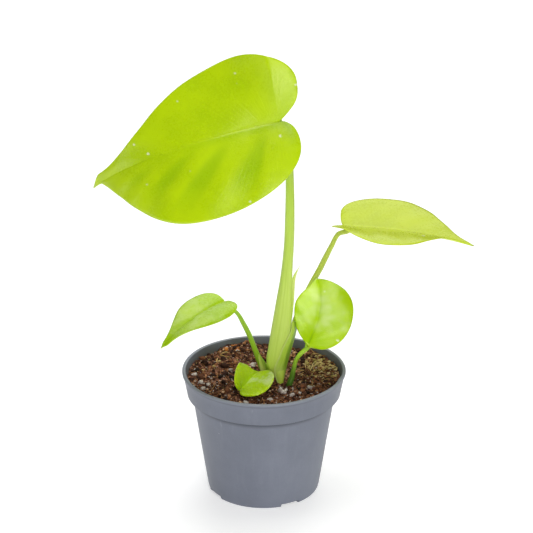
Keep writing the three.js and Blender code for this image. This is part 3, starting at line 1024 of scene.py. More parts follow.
@dataclass
class Blade:
    """A leaf blade: a thin sheet with a groove above and a ridge below its midrib."""

    node: str
    shape: LeafShape
    finish: LeafFinish
    rows: int
    columns: int
    seed: int
    thickness: float = 0.62
    margin_share: float = 0.4
    rib_depth: float = 0.7
    rib_width: float = 1.6
    full_rib_length: float = 90.0
    groove_depth: float = 0.22
    groove_width: float = 0.55
    column_power: float = 1.3
    waviness: float = 0.0035

    MARGIN_FADE = 1.4
    TIP_FADE = 3

    def rib(self) -> float:
        """How far the midrib stands out below at the stalk."""
        return self.rib_depth * min(self.shape.length / self.full_rib_length, 1)

    def sheet(self) -> tuple[dict[str, Array], list[list[int]], list[int]]:
        """Lays out the flat blade.

        Returns:
            Named values of each point, faces of the upper side, and the margin as a loop.
        """
        rows, columns, length = self.rows, self.columns, self.shape.length
        margin = np.arange(rows + 1) / rows
        start = vein_start(margin) * length
        vein = np.interp(start / length, self.shape.veins, np.arange(len(self.shape.veins)))
        reach = (np.arange(columns + 1) / columns) ** self.column_power
        wave = np.cos(TURN * vein)[:, None]
        fade = reach * (self.MARGIN_FADE - reach)
        fade = fade * np.minimum(self.TIP_FADE * (1 - margin), 1)[:, None]
        keys = ("u", "v", "lift", "dip", "margin", "reach")
        values: dict[str, list[Array]] = {key: [] for key in keys}
        faces: list[list[int]] = []
        loops = {}
        noise = PlaneNoise(self.seed)
        for side in Side:
            outline = self.shape.halves[side].outline(length, rows)
            u = start[:, None] + (outline[:, :1] - start[:, None]) * reach
            v = side.value * outline[:, 1:] * reach
            waver = noise(margin[:, None] * 9, 7 * side.value + reach * 2) * reach**2
            lift = self.waviness * length * waver - self.shape.ripple[side] * wave * fade
            index = np.arange((rows + 1) * (columns + 1)).reshape(rows + 1, columns + 1)
            offset = 0 if side is Side.LEFT else index.size
            index = index + offset
            if side is Side.RIGHT:
                index[:, 0] = np.arange(rows + 1) * (columns + 1)
            index[0, :] = 0
            index[rows, :] = rows * (columns + 1)
            quads = np.stack([index[:-1, :-1], index[1:, :-1], index[1:, 1:], index[:-1, 1:]], -1)
            quads = quads.reshape(-1, 4)
            if side is Side.RIGHT:
                quads = quads[:, ::-1]
            faces += [list(dict.fromkeys(quad)) for quad in quads.tolist()]
            loops[side] = index[:, columns].tolist()
            dip = self.shape.ripple[side] * (0.5 + 0.5 * wave) * fade
            for key, block in zip(keys, (u, v, lift, dip, margin[:, None], reach)):
                values[key].append(np.broadcast_to(block, index.shape).ravel())
        faces = [face for face in faces if len(face) > 2]
        loop = loops[Side.RIGHT] + loops[Side.LEFT][-2:0:-1]
        return {key: np.concatenate(blocks) for key, blocks in values.items()}, faces, loop

    def build(self) -> bpy.types.Object:
        """Makes the blade and dresses it.

        Returns:
            The object.
        """
        values, faces, loop = self.sheet()
        u, v, reach = values["u"], values["v"], values["reach"]
        middle = self.shape.bend(u, v, values["lift"])
        used = sorted({corner for face in faces for corner in face})
        rename = {old: new for new, old in enumerate(used)}
        faces = [[rename[corner] for corner in face] for face in faces]
        loop = [rename[corner] for corner in loop]
        middle, u, v, reach = middle[used], u[used], v[used], reach[used]
        normals = point_normals(middle, faces)
        half = self.thickness / 2 * (1 - (1 - self.margin_share) * reach**12)
        towards_tip = np.sqrt(np.clip(1 - u / self.shape.length, 0, 1))
        groove = self.groove_depth * np.exp(-((v / self.groove_width) ** 2)) * towards_tip
        ridge = self.rib() * np.exp(-((v / self.rib_width) ** 2)) * towards_tip
        above = middle + normals * (half - groove)[:, None]
        below = middle - normals * (half + ridge)[:, None]
        count = len(middle)
        piece = Piece(f"{self.node}_grown")
        solid = faces + [[corner + count for corner in face[::-1]] for face in faces]
        for a, b in zip(loop, loop[1:] + loop[:1]):
            if a != b:
                solid.append([a, a + count, b + count, b])
        twice = {"along": u / self.shape.length, "side": v, "reach": reach,
                 "dip": values["dip"][used], "margin": values["margin"][used]}
        piece.add(np.vstack([above, below]), solid, under=np.repeat([0, 1], count),
                  **{key: np.tile(value, 2) for key, value in twice.items()})
        return piece.build(self.finish.material(), Slot.LEAF, self.node)


def spline(stations: Array, fineness: int = 24) -> Array:
    """Carries a smooth line through rows of numbers whose first three are a place.

    Args:
        stations: The rows to pass through.
        fineness: Points between two rows.

    Returns:
        The line's points, one row each.
    """
    rows = np.vstack([2 * stations[0] - stations[1], stations, 2 * stations[-1] - stations[-2]])
    gaps = np.sqrt(np.linalg.norm(np.diff(rows[:, :3], axis=0), axis=1))
    t = np.linspace(0, 1, fineness, endpoint=False)[:, None]
    parts = []
    for k in range(1, len(rows) - 2):
        p0, p1, p2, p3 = rows[k - 1 : k + 3]
        g0, g1, g2 = gaps[k - 1 : k + 2]
        m1 = ((p1 - p0) / g0 - (p2 - p0) / (g0 + g1) + (p2 - p1) / g1) * g1
        m2 = ((p2 - p1) / g1 - (p3 - p1) / (g1 + g2) + (p3 - p2) / g2) * g1
        square, cube = 3 * (p2 - p1) - 2 * m1 - m2, 2 * (p1 - p2) + m1 + m2
        parts.append(p1 + m1 * t + square * t**2 + cube * t**3)
    return np.vstack([*parts, stations[-1:]])


Station = tuple[float, float, float, float, float]


@dataclass
class Stalk:
    """A stalk: an oval section with fine ribs, carried along a smooth line up to its blade."""

    node: str
    stations: tuple[Station, ...]
    finish: StalkFinish
    blade: Blade | None = None
    steps: int = 90
    sides: int = 36
    ribs: int = 15
    rib_height: float = 0.02
    flare: float = 0.25
    taper: float = 0.0
    straight: float = 1.6
    ahead: float = 0.6

    def line(self) -> Array:
        """Walks the stalk's middle in equal steps.

        Returns:
            Places with the half width and the half depth, one row each.
        """
        rows = [np.array(station, float) for station in self.stations]
        if self.blade:
            frames = self.blade.shape.frames()
            along, upper = frames["along"][0], frames["upper"][0]
            end = np.array(self.blade.shape.junction) + along * self.ahead
            end = end - upper * self.blade.rib() * 0.5
            sizes = rows[-1][3:]
            rows[-1:] = [np.concatenate([place, sizes]) for place in (end - upper * self.straight, end)]
        return even_steps(spline(np.array(rows)), self.steps)

    def rings(self) -> tuple[Array, Array, Array]:
        """Works out the section at each step.

        Returns:
            The middle of each, and the ways across and deep, both as long as the half sizes.
        """
        line = self.line()
        middle = line[:, :3]
        along = np.gradient(middle, axis=0)
        along /= np.linalg.norm(along, axis=1, keepdims=True)
        wide = np.cross(np.array([0.0, 1.0, 0.0]), along)
        wide /= np.linalg.norm(wide, axis=1, keepdims=True)
        deep = np.cross(along, wide)
        share = np.linspace(0, 1, len(line))
        swell = 1 + self.flare * smooth(share, 0.955, 1.0) if self.blade else np.ones(len(line))
        if self.taper:
            swell = swell * (1 - smooth(share, 1 - self.taper, 1.0) * 0.85)
        return middle, wide * (line[:, 3] * swell)[:, None], deep * (line[:, 4] * swell)[:, None]

    def surface(self, share: Array, angle: Array) -> Array:
        """Places on the stalk.

        Args:
            share: How far up, from 0 to 1.
            angle: How far round from +X, in turns; a quarter turn back faces the viewer.

        Returns:
            Places, one row each.
        """
        middle, wide, deep = self.rings()
        at = share * (len(middle) - 1)
        i = np.minimum(at.astype(int), len(middle) - 2)
        f = (at - i)[..., None]
        c, w, d = (block[i] * (1 - f) + block[i + 1] * f for block in (middle, wide, deep))
        turn = (TURN * angle)[..., None]
        rib = 1 + self.rib_height * np.cos(self.ribs * turn + 3 * share[..., None])
        return c + (w * np.cos(turn) + d * np.sin(turn)) * rib

    def build(self) -> bpy.types.Object:
        """Makes the stalk and dresses it.

        Returns:
            The object.
        """
        share, angle = np.meshgrid(np.linspace(0, 1, self.steps + 1),
                                   np.arange(self.sides) / self.sides, indexing="ij")
        points = self.surface(share, angle).reshape(-1, 3)
        last = len(points) - self.sides
        caps = [list(range(self.sides))[::-1], list(range(last, len(points)))]
        faces = grid_faces(self.steps + 1, self.sides, around=True).tolist() + caps
        piece = Piece(f"{self.node}_grown")
        piece.add(points, faces, along=share.ravel(), around=(angle - 0.25).ravel() % 1)
        return piece.build(self.finish.material(), Slot.STALK, self.node, crease=50)


@dataclass
class Sheath:
    """A thin sheath that wraps a stalk's foot, from a free edge in front to a far edge behind."""

    name: str
    finish: SheathFinish
    rows: tuple[tuple[float, float, float, float, float, float], ...]
    groove: float = 0.22
    groove_at: float = 0.62
    groove_width: float = 0.12
    thickness: float = 0.35
    edge_share: float = 0.35
    steps: int = 60
    columns: int = 28

    def build(self) -> bpy.types.Object:
        """Makes the sheath; each row holds a place on its free edge and one on its far edge.

        Returns:
            The object.
        """
        line = even_steps(spline(np.array(self.rows, float)), self.steps)
        free, far = line[:, None, :3], line[:, None, 3:]
        height = (free[..., 2] + far[..., 2]) / 2
        corner = np.stack([far[..., 0] - 0.3, free[..., 1] - 0.2, height], -1)
        across = np.linspace(0, 1, self.columns + 1)
        v = across[None, :, None]
        skin = ((1 - v) ** 2 * free + 2 * v * (1 - v) * corner + v**2 * far).reshape(-1, 3)
        down = np.repeat(np.linspace(0, 1, self.steps + 1), self.columns + 1)
        around = np.tile(across, self.steps + 1)
        sheet = grid_faces(self.steps + 1, self.columns + 1)[:, ::-1]
        out = point_normals(skin, sheet)
        dent = self.groove * np.exp(-(((around - self.groove_at) / self.groove_width) ** 2))
        dent = dent * smooth(down, 0.9, 0.5)
        full = smooth(around, 0, 0.15) * smooth(down, 1.0, 0.9)
        thick = self.thickness * (self.edge_share + (1 - self.edge_share) * full)
        above = skin - out * dent[:, None]
        below = above - out * thick[:, None]
        count = len(skin)
        index = np.arange(count).reshape(self.steps + 1, self.columns + 1)
        loop = [*index[0], *index[1:, -1], *index[-1, -2::-1], *index[-2:0:-1, 0]]
        faces = sheet.tolist() + (sheet[:, ::-1] + count).tolist()
        faces += [[a, b, b + count, a + count] for a, b in zip(loop, loop[1:] + loop[:1])]
        piece = Piece(self.name)
        piece.add(np.vstack([above, below]), faces, along=np.tile(down, 2), around=np.tile(around, 2))
        return piece.build(self.finish.material(), Slot.STALK, crease=60)


@dataclass
class NurseryPot:
    """A thin tapered pot with a wider band under its rim and drain channels in its foot."""

    height: float = 55
    wall: float = 1.1
    floor: float = 1.2
    foot_radius: float = 22.9
    heel_radius: float = 24.1
    heel_height: float = 2
    body_top_radius: float = 30.5
    band_bottom: float = 44.2
    band_bottom_radius: float = 32.8
    band_top_radius: float = 34.5
    lip_height: float = 1.2
    rim_radius: float = 35
    rim_width: float = 1.6
    segments: int = 256
    channels: int = 4
    channel_angle: float = -61
    channel_width: float = 8.6
    channel_height: float = 1.7
    channel_inner: float = 16
    roof: float = 1.2
    drain: float = 3.6
    wobble: float = 0.16
    dent_angle: float = -17
    dent_width: float = 4
    dent_depth: float = 0.35
    dent_reach: float = 5
    skin: float = 0.35

    def inner_radius(self, height: Array | float) -> Array:
        """Works out how far the inside of the wall is from the axis.

        Args:
            height: One height or more.

        Returns:
            The radius at each.
        """
        shoulder = self.band_bottom + self.wall
        heights = [self.heel_height, self.band_bottom, shoulder, self.height]
        radii = [self.foot_radius, self.body_top_radius - self.wall, self.band_bottom_radius - self.wall,
                 self.rim_radius - self.rim_width]
        return np.interp(height, heights, radii)

    def profile(self) -> list[tuple[float, float]]:
        """Draws the half section from the axis up the outside, over the rim and back down.

        Returns:
            Radii and heights.
        """
        foot, heel, band, top = self.foot_radius, self.heel_radius, self.band_bottom, self.height
        lip = top - self.lip_height
        body, rim, inner = self.body_top_radius, self.rim_radius, self.rim_radius - self.rim_width
        band_foot, band_head = self.band_bottom_radius, self.band_top_radius
        wall = self.slope((heel, self.heel_height), (body, band - 0.5), 7)
        belly = self.slope((band_foot, band + 0.35), (band_head, lip - 0.15), 4)
        upper, lower = (
            [(float(self.inner_radius(z)), z) for z in heights]
            for heights in ((top - 1, 51, band + self.wall), (20, self.heel_height)))
        return [
            (0, 0), (foot * 0.5, 0), (foot - 1.2, 0), (foot, 0.05), (foot + 0.6, 0.35), (foot + 0.9, 0.9),
            *wall, (body + 0.05, band - 0.2), (body + 0.35, band + 0.02), (band_foot - 0.35, band + 0.1),
            *belly, (band_head + 0.1, lip), (rim - 0.05, lip + 0.15), (rim, lip + 0.4),
            (rim, top - 0.45), (rim - 0.15, top - 0.15), (rim - 0.5, top),
            (inner + 0.45, top), (inner + 0.12, top - 0.2),
            *upper, (body - self.wall, band - 0.4), *lower, (foot - 0.8, self.floor), (0, self.floor),
        ]

    @staticmethod
    def slope(start: tuple[float, float], end: tuple[float, float],
              count: int) -> list[tuple[float, float]]:
        """Evenly spaced points of a straight stretch, with both its ends."""
        return list(zip(*(np.linspace(a, b, count).tolist() for a, b in zip(start, end))))

    def bars(self, name: str, start: float, end: float, wide: float, low: float,
             high: float) -> bpy.types.Object:
        """Makes one bar for each drain channel.

        Args:
            name: The bars' name.
            start: Where each starts, from the axis.
            end: Where it ends.
            wide: Its width.
            low: Its bottom.
            high: Its top.

        Returns:
            One object that holds them all.
        """
        mesh = bpy.data.meshes.new(name)
        bars = bmesh.new()
        for k in range(self.channels):
            angle = math.radians(self.channel_angle) + TURN * k / self.channels
            turn = Matrix.Rotation(angle, 4, "Z")
            middle = Matrix.Translation(Vector(((start + end) / 2, 0, (low + high) / 2)) * MM)
            scale = Matrix.Diagonal(((end - start) * MM, wide * MM, (high - low) * MM, 1))
            bmesh.ops.create_cube(bars, size=1, matrix=turn @ middle @ scale)
        bars.to_mesh(mesh)
        bars.free()
        return placed(name, mesh)

    def build(self, finish: PotFinish) -> bpy.types.Object:
        """Turns the pot, presses its channels, bends its rim a little and dresses it.

        Args:
            finish: Its plastic.

        Returns:
            The object.
        """
        profile = np.array(self.profile())
        angle = TURN * np.arange(self.segments) / self.segments
        section = profile[1:-1]
        radius, height = section[:, :1], section[:, 1:]
        points = np.stack([radius * np.cos(angle), radius * np.sin(angle), height + 0 * angle], -1)
        points = points.reshape(-1, 3)
        count = len(points)
        points = np.vstack([points, [[0, 0, profile[0, 1]], [0, 0, profile[-1, 1]]]])
        faces = grid_faces(len(section), self.segments, around=True).tolist()
        last = count - self.segments
        for k in range(self.segments):
            after = (k + 1) % self.segments
            faces += [[after, k, count], [last + k, last + after, count + 1]]
        made = placed("pot_moulded", mesh_of("pot_moulded", points, faces))
        start, wide, roof = self.channel_inner, self.channel_width, self.channel_height + self.roof
        tools = [
            ("UNION", self.bars("roofs", start - self.roof, self.heel_radius - 0.8,
                                wide + 2 * self.roof, self.floor / 2, roof)),
            ("DIFFERENCE", self.bars("channels", start, self.rim_radius, wide, -1, self.channel_height)),
            ("DIFFERENCE", self.bars("drains", start + 1, start + 1 + self.drain,
                                     self.drain, -1, roof + self.roof)),
        ]
        for operation, tool in tools:
            cut = made.modifiers.new(tool.name, "BOOLEAN")
            cut.operation, cut.object, cut.solver = operation, tool, "EXACT"
        bpy.context.view_layer.update()
        graph = bpy.context.evaluated_depsgraph_get()
        done = bpy.data.meshes.new_from_object(made.evaluated_get(graph))
        made.modifiers.clear()
        made.data = done
        for _, tool in tools:
            bpy.data.objects.remove(tool)
        self.bend_rim(done)
        return settle(made, finish.material(), Slot.POT, "pot", crease=32)

    def bend_rim(self, mesh: bpy.types.Mesh) -> None:
        """Gives the thin rim its slight wobble, and stores each point's side and height.

        Args:
            mesh: The pot's mesh.
        """
        points = np.array([vertex.co for vertex in mesh.vertices]) / MM
        radius = np.hypot(points[:, 0], points[:, 1])
        angle = np.arctan2(points[:, 1], points[:, 0])
        above_floor = points[:, 2] > self.floor - 0.1
        inside = (radius < self.inner_radius(points[:, 2]) + self.skin) & above_floor
        up = smooth(points[:, 2], 30, self.height)
        push = self.wobble * (np.sin(3 * angle + 0.8) + 0.5 * np.sin(5 * angle + 2.1)) * up
        dent = np.exp(-(((angle - math.radians(self.dent_angle)) / math.radians(self.dent_width)) ** 2))
        near_rim = smooth(points[:, 2], self.height - self.dent_reach, self.height)
        push = push - self.dent_depth * dent * near_rim
        points[:, :2] *= (1 + push / np.maximum(radius, 1))[:, None]
        mesh.vertices.foreach_set("co", (points * MM).astype(np.float32).ravel())
        put_values(mesh, "inside", inside.astype(float))
        put_values(mesh, "height", points[:, 2] / self.height)
        mesh.update()


@dataclass(frozen=True)
class Scatter:
    """Loose bits strewn on the mix: how many, where, how large and what tone."""

    count: int
    centre: tuple[float, float] = (0.0, 0.0)
    spread: float = 0.0
    sizes: tuple[float, float] = (0.4, 1.1)
    tones: tuple[float, float] = (0.0, 1.0)
    flatness: float = 0.8


@dataclass
class PottingMix:
    """The mix that fills the pot: a lumpy ground with crumbs, chips, fibres and perlite on it."""

    pot: NurseryPot
    stalks: list[Stalk]
    top: float = 51.3
    bank: float = 2.0
    bank_at: tuple[float, float] = (-12.0, 28.0)
    bank_reach: float = 10.0
    lumps: tuple[tuple[float, float], ...] = ((0.5, 13), (0.75, 4.2), (0.5, 1.9), (0.28, 0.9), (0.12, 0.45))
    cells: int = 250
    edge_gap: float = 0.12
    skirt: tuple[float, ...] = (47.0, 43.8, 24.0, 3.2)
    skirt_gap: float = 0.3
    rim_margin: float = 0.8
    stalk_margin: float = 0.4
    seed: int = 17
    grains: tuple[tuple[float, float, float], ...] = (
        (-23.6, -9.0, 1.36), (-25.7, -11.9, 1.02), (-29.6, 2.2, 1.105), (-26.7, -6.1, 1.105),
        (-21.0, 12.8, 0.935), (-16.4, 25.2, 0.85), (-14.0, 6.8, 0.935), (-4.6, 9.8, 1.445),
        (-11.2, 22.9, 0.85), (7.4, -16.8, 1.53), (9.5, -14.8, 1.105), (19.7, -11.9, 1.36),
        (12.4, -19.7, 1.02), (15.4, -17.7, 0.85), (2.7, -23.5, 1.02), (-7.4, -25.4, 1.105))

    def __post_init__(self) -> None:
        """Draws the noises and the random stream from the seed."""
        self.random = np.random.default_rng(self.seed)
        self.noises = [PlaneNoise(self.seed + k) for k in range(len(self.lumps))]

    def height(self, x: Array, y: Array) -> Array:
        """Works out the height of the ground.

        Args:
            x: First coordinates.
            y: Second coordinates.

        Returns:
            One height for each place.
        """
        x, y = np.asarray(x, float), np.asarray(y, float)
        far = np.hypot(x - self.bank_at[0], y - self.bank_at[1])
        bumps = sum(high * noise(x / wide, y / wide) for noise, (high, wide) in zip(self.noises, self.lumps))
        return self.top + bumps + self.bank * np.exp(-((far / self.bank_reach) ** 2))

    def ground(self) -> bpy.types.Object:
        """Makes the ground, with its sides and bottom down in the pot.

        Returns:
            The object.
        """
        edge = float(self.pot.inner_radius(self.top)) - self.edge_gap
        step = np.linspace(-1, 1, self.cells + 1)
        a, b = np.meshgrid(step, step, indexing="ij")
        wide = np.abs(a) >= np.abs(b)
        radius = np.where(wide, a, b)
        with np.errstate(divide="ignore", invalid="ignore"):
            turn = np.where(wide, math.pi / 4 * b / a, math.pi / 2 - math.pi / 4 * a / b)
        turn = np.nan_to_num(turn)
        x, y = edge * radius * np.cos(turn), edge * radius * np.sin(turn)
        points = np.stack([x, y, self.height(x, y)], -1).reshape(-1, 3)
        size = self.cells + 1
        faces = grid_faces(size, size).tolist()
        index = np.arange(size * size).reshape(size, size)
        loop = np.array([*index[:-1, 0], *index[-1, :-1], *index[:0:-1, -1], *index[0, :0:-1]])
        rim = points[loop]
        way = np.arctan2(rim[:, 1], rim[:, 0])
        rings = [points]
        before = loop
        for z in self.skirt:
            radius_at = float(self.pot.inner_radius(z)) - self.skirt_gap
            now = sum(len(ring) for ring in rings) + np.arange(len(loop))
            rings.append(np.stack([radius_at * np.cos(way), radius_at * np.sin(way), 0 * way + z], -1))
            faces += np.stack([before, now, np.roll(now, -1), np.roll(before, -1)], -1).tolist()
            before = now
        faces.append(before.tolist()[::-1])
        piece = Piece("soil_ground")
        piece.add(np.vstack(rings), faces)
        return piece.build(SoilFinish().material(), Slot.SOIL, "soil", crease=80)

    def clear(self, x: float, y: float) -> bool:
        """Whether a place is off the stalks."""
        feet = [stalk.stations[1] for stalk in self.stalks]
        return all(math.hypot(x - at[0], y - at[1]) > at[3] + self.stalk_margin for at in feet)

    def spot(self, scatter: Scatter) -> tuple[float, float]:
        """Draws a place for one bit.

        Args:
            scatter: What the bit belongs to.

        Returns:
            A place on the ground, off the stalks.
        """
        edge = float(self.pot.inner_radius(self.top)) - self.rim_margin
        while True:
            if scatter.spread:
                x, y = self.random.normal(scatter.centre, scatter.spread)
            else:
                reach, turn = edge * math.sqrt(self.random.random()), TURN * self.random.random()
                x, y = reach * math.cos(turn), reach * math.sin(turn)
            if math.hypot(x, y) < edge and self.clear(x, y):
                return x, y

    def lump(self, template: tuple[Array, Array], roughness: float) -> Array:
        """Bulges and turns a round body at random.

        Args:
            template: Its points and faces.
            roughness: How far it bulges, as a share of its radius.

        Returns:
            Its new points.
        """
        points = template[0]
        bulge = np.ones(len(points))
        for strength, pitch in ((1.0, 1.7), (0.6, 3.4), (0.35, 6.5)):
            waves = self.random.normal(0, pitch, (3, 3))
            phases = self.random.uniform(0, TURN, 3)
            bulge += roughness * strength * np.sin(points @ waves + phases).mean(1)
        axis = self.random.normal(size=3)
        return (points * bulge[:, None]) @ turn_about(self.random.uniform(0, TURN), axis).T

    def bits(self, name: str, scatters: Sequence[Scatter], template: tuple[Array, Array],
             roughness: float, sink: float, material: bpy.types.Material,
             fixed: Sequence[tuple[float, float, float]] = ()) -> None:
        """Strews solid bits over the ground as one piece.

        Args:
            name: The piece's name.
            scatters: What to strew.
            template: Points and faces of a round body.
            roughness: How lumpy each bit is.
            sink: How much of its radius a bit lies below the ground's height.
            material: The bits' finish.
            fixed: Bits with a place and a radius of their own, put first.
        """
        piece = Piece(name)
        drawn = [(*grain, (0.6, 1.0), 0.85) for grain in fixed]
        for scatter in scatters:
            for _ in range(scatter.count):
                low, high = scatter.sizes
                radius = low + (high - low) * self.random.random() ** 2.2
                drawn.append((*self.spot(scatter), radius, scatter.tones, scatter.flatness))
        for x, y, radius, tones, flatness in drawn:
            shape = self.lump(template, roughness)
            narrow, low = self.random.uniform(0.6, 1.0), self.random.uniform(0.7, 1.0)
            stretch = np.array([1.0, narrow, flatness * low])
            turn = turn_about(self.random.uniform(0, TURN), "Z")
            z = float(self.height(x, y)) + radius * (flatness - sink)
            piece.add((shape * stretch * radius) @ turn.T + [x, y, z], template[1],
                      tone=self.random.uniform(*tones))
        piece.build(material, Slot.SOIL)

    def fibres(self, name: str, scatters: Sequence[Scatter], material: bpy.types.Material,
               thick: float, rise: float = 0.6) -> None:
        """Strews curved fibres over the ground as one piece.

        Args:
            name: The piece's name.
            scatters: What to strew; their sizes are lengths.
            material: The fibres' finish.
            thick: The radius of a fibre.
            rise: How far a fibre may stand off the ground.
        """
        piece = Piece(name)
        steps, sides = 9, 5
        faces = grid_faces(steps + 1, sides, around=True).tolist()
        faces += [list(range(sides))[::-1], list(range(steps * sides, (steps + 1) * sides))]
        for scatter in scatters:
            for _ in range(scatter.count):
                x, y = self.spot(scatter)
                length = self.random.uniform(*scatter.sizes)
                way, curve = self.random.uniform(0, TURN), self.random.normal(0, 0.9)
                share = np.linspace(0, 1, steps + 1)
                heading = way + curve * share
                path = np.stack([np.cos(heading), np.sin(heading)], -1) * length / steps
                flat = np.array([x, y]) + np.cumsum(path, 0) - path.sum(0) / 2
                reach = np.hypot(*flat.T)
                limit = float(self.pot.inner_radius(self.top)) - 0.5
                flat *= np.minimum(1, limit / reach)[:, None]
                z = self.height(*flat.T)
                z = np.maximum(z, np.convolve(np.pad(z, 2, "edge"), np.ones(5) / 5, "valid"))
                z = z + thick + self.random.uniform(0, rise) * np.sin(math.pi * share) ** 2
                tilt = self.random.uniform(-0.3, 1.0) * rise
                line = np.column_stack([flat, z + tilt * share])
                piece.add(self.tube(line, thick * self.random.uniform(0.6, 1.2), sides), faces,
                          tone=self.random.uniform(*scatter.tones))
        piece.build(material, Slot.SOIL)

    @staticmethod
    def tube(line: Array, radius: float, sides: int) -> Array:
        """Draws a thin tube, narrower at its ends.

        Args:
            line: Its middle, one row for each ring.
            radius: Its radius halfway.
            sides: Points in a ring.

        Returns:
            Its points, ring by ring.
        """
        along = np.gradient(line, axis=0)
        along /= np.linalg.norm(along, axis=1, keepdims=True)
        wide = np.cross(along, [0.0, 0.0, 1.0])
        wide /= np.maximum(np.linalg.norm(wide, axis=1, keepdims=True), 1e-9)
        deep = np.cross(wide, along)
        turn = TURN * np.arange(sides) / sides
        thin = radius * (0.35 + 0.65 * np.sin(math.pi * np.linspace(0, 1, len(line))) ** 0.5)
        ring = wide[:, None] * np.cos(turn)[:, None] + deep[:, None] * np.sin(turn)[:, None]
        return (line[:, None] + ring * thin[:, None, None]).reshape(-1, 3)

    def build(self) -> None:
        """Makes the ground and everything that lies on it."""
        self.ground()
        crumbs = CrumbFinish("soil_crumbs", ((0.0, "180e09"), (0.35, "44291c"), (0.6, "855539"),
                                             (0.8, "ba825c"), (1.0, "ecc49c")))
        moss = CrumbFinish("mossy_bits", ((0.0, "5a4a2a"), (0.4, "a08c50"), (0.7, "ccb87c"),
                                          (1.0, "ecdcae")))
        bark = CrumbFinish("bark_chips", ((0.0, "402015"), (0.5, "6d3d24"), (1.0, "b8743a")), relief=0.3)
        fibre = CrumbFinish("coir_fibres", ((0.0, "3a1f12"), (0.4, "7a4a2c"), (0.75, "ad7d4c"),
                                            (1.0, "dcc28a")))
        straw = CrumbFinish("straw", ((0.0, "b08a4a"), (1.0, "e0cb92")))
        small, middle, large = (round_template(divisions) for divisions in (1, 2, 3))
        right = (24.0, 9.0)
        self.bits("soil_crumbs", [Scatter(1500, sizes=(0.25, 0.9)),
                                  Scatter(260, sizes=(0.6, 1.6), tones=(0.0, 0.7))],
                  small, 0.9, 0.55, crumbs.material())
        self.bits("soil_moss", [Scatter(170, right, 6.0, (0.25, 1.0), (0.3, 1.0)),
                                Scatter(60, (-24.0, 14.0), 9.0, (0.2, 0.7), (0.0, 0.7))],
                  small, 0.9, 0.4, moss.material())
        self.bits("soil_bark", [Scatter(60, sizes=(0.5, 1.2), tones=(0.0, 0.7), flatness=0.35),
                                Scatter(7, (-12.0, 27.0), 2.5, (0.8, 1.4), (0.85, 1.1), 0.4)],
                  middle, 0.7, 0.1, bark.material())
        self.bits("soil_perlite", [Scatter(30, sizes=(0.25, 0.6), tones=(0.2, 1.0)),
                                   Scatter(16, (-22.0, -6.0), 5.0, (0.3, 0.7), (0.3, 1.0)),
                                   Scatter(18, (11.0, -16.0), 4.0, (0.3, 0.7), (0.4, 1.0))],
                  large, 0.5, 0.35, PerliteFinish().material(), fixed=self.grains)
        self.bits("soil_perlite_dust", [Scatter(520, sizes=(0.16, 0.46), tones=(0.4, 1.3))],
                  small, 0.5, 0.2, PerliteFinish("perlite_dust").material())
        self.fibres("soil_fibres", [Scatter(420, sizes=(2.0, 7.0), tones=(0.0, 0.75)),
                                    Scatter(90, right, 6.0, (2.0, 6.0), (0.5, 1.0))],
                    fibre.material(), 0.16)
        self.fibres("soil_straw", [Scatter(7, (26.5, 11.0), 3.0, (5.0, 8.5), (0.0, 1.0)),
                                   Scatter(3, (-22.0, 20.0), 4.0, (4.0, 7.0), (0.0, 0.5))],
                    straw.material(), 0.26, rise=1.2)


def round_template(divisions: int) -> tuple[Array, Array]:
    """Makes a round body of radius 1.

    Args:
        divisions: How fine it is.

    Returns:
        Its points and its faces.
    """
    ball = bmesh.new()
    bmesh.ops.create_icosphere(ball, subdivisions=divisions, radius=1)
    points = np.array([vertex.co for vertex in ball.verts])
    faces = np.array([[vertex.index for vertex in face.verts] for face in ball.faces])
    ball.free()
    return points, faces


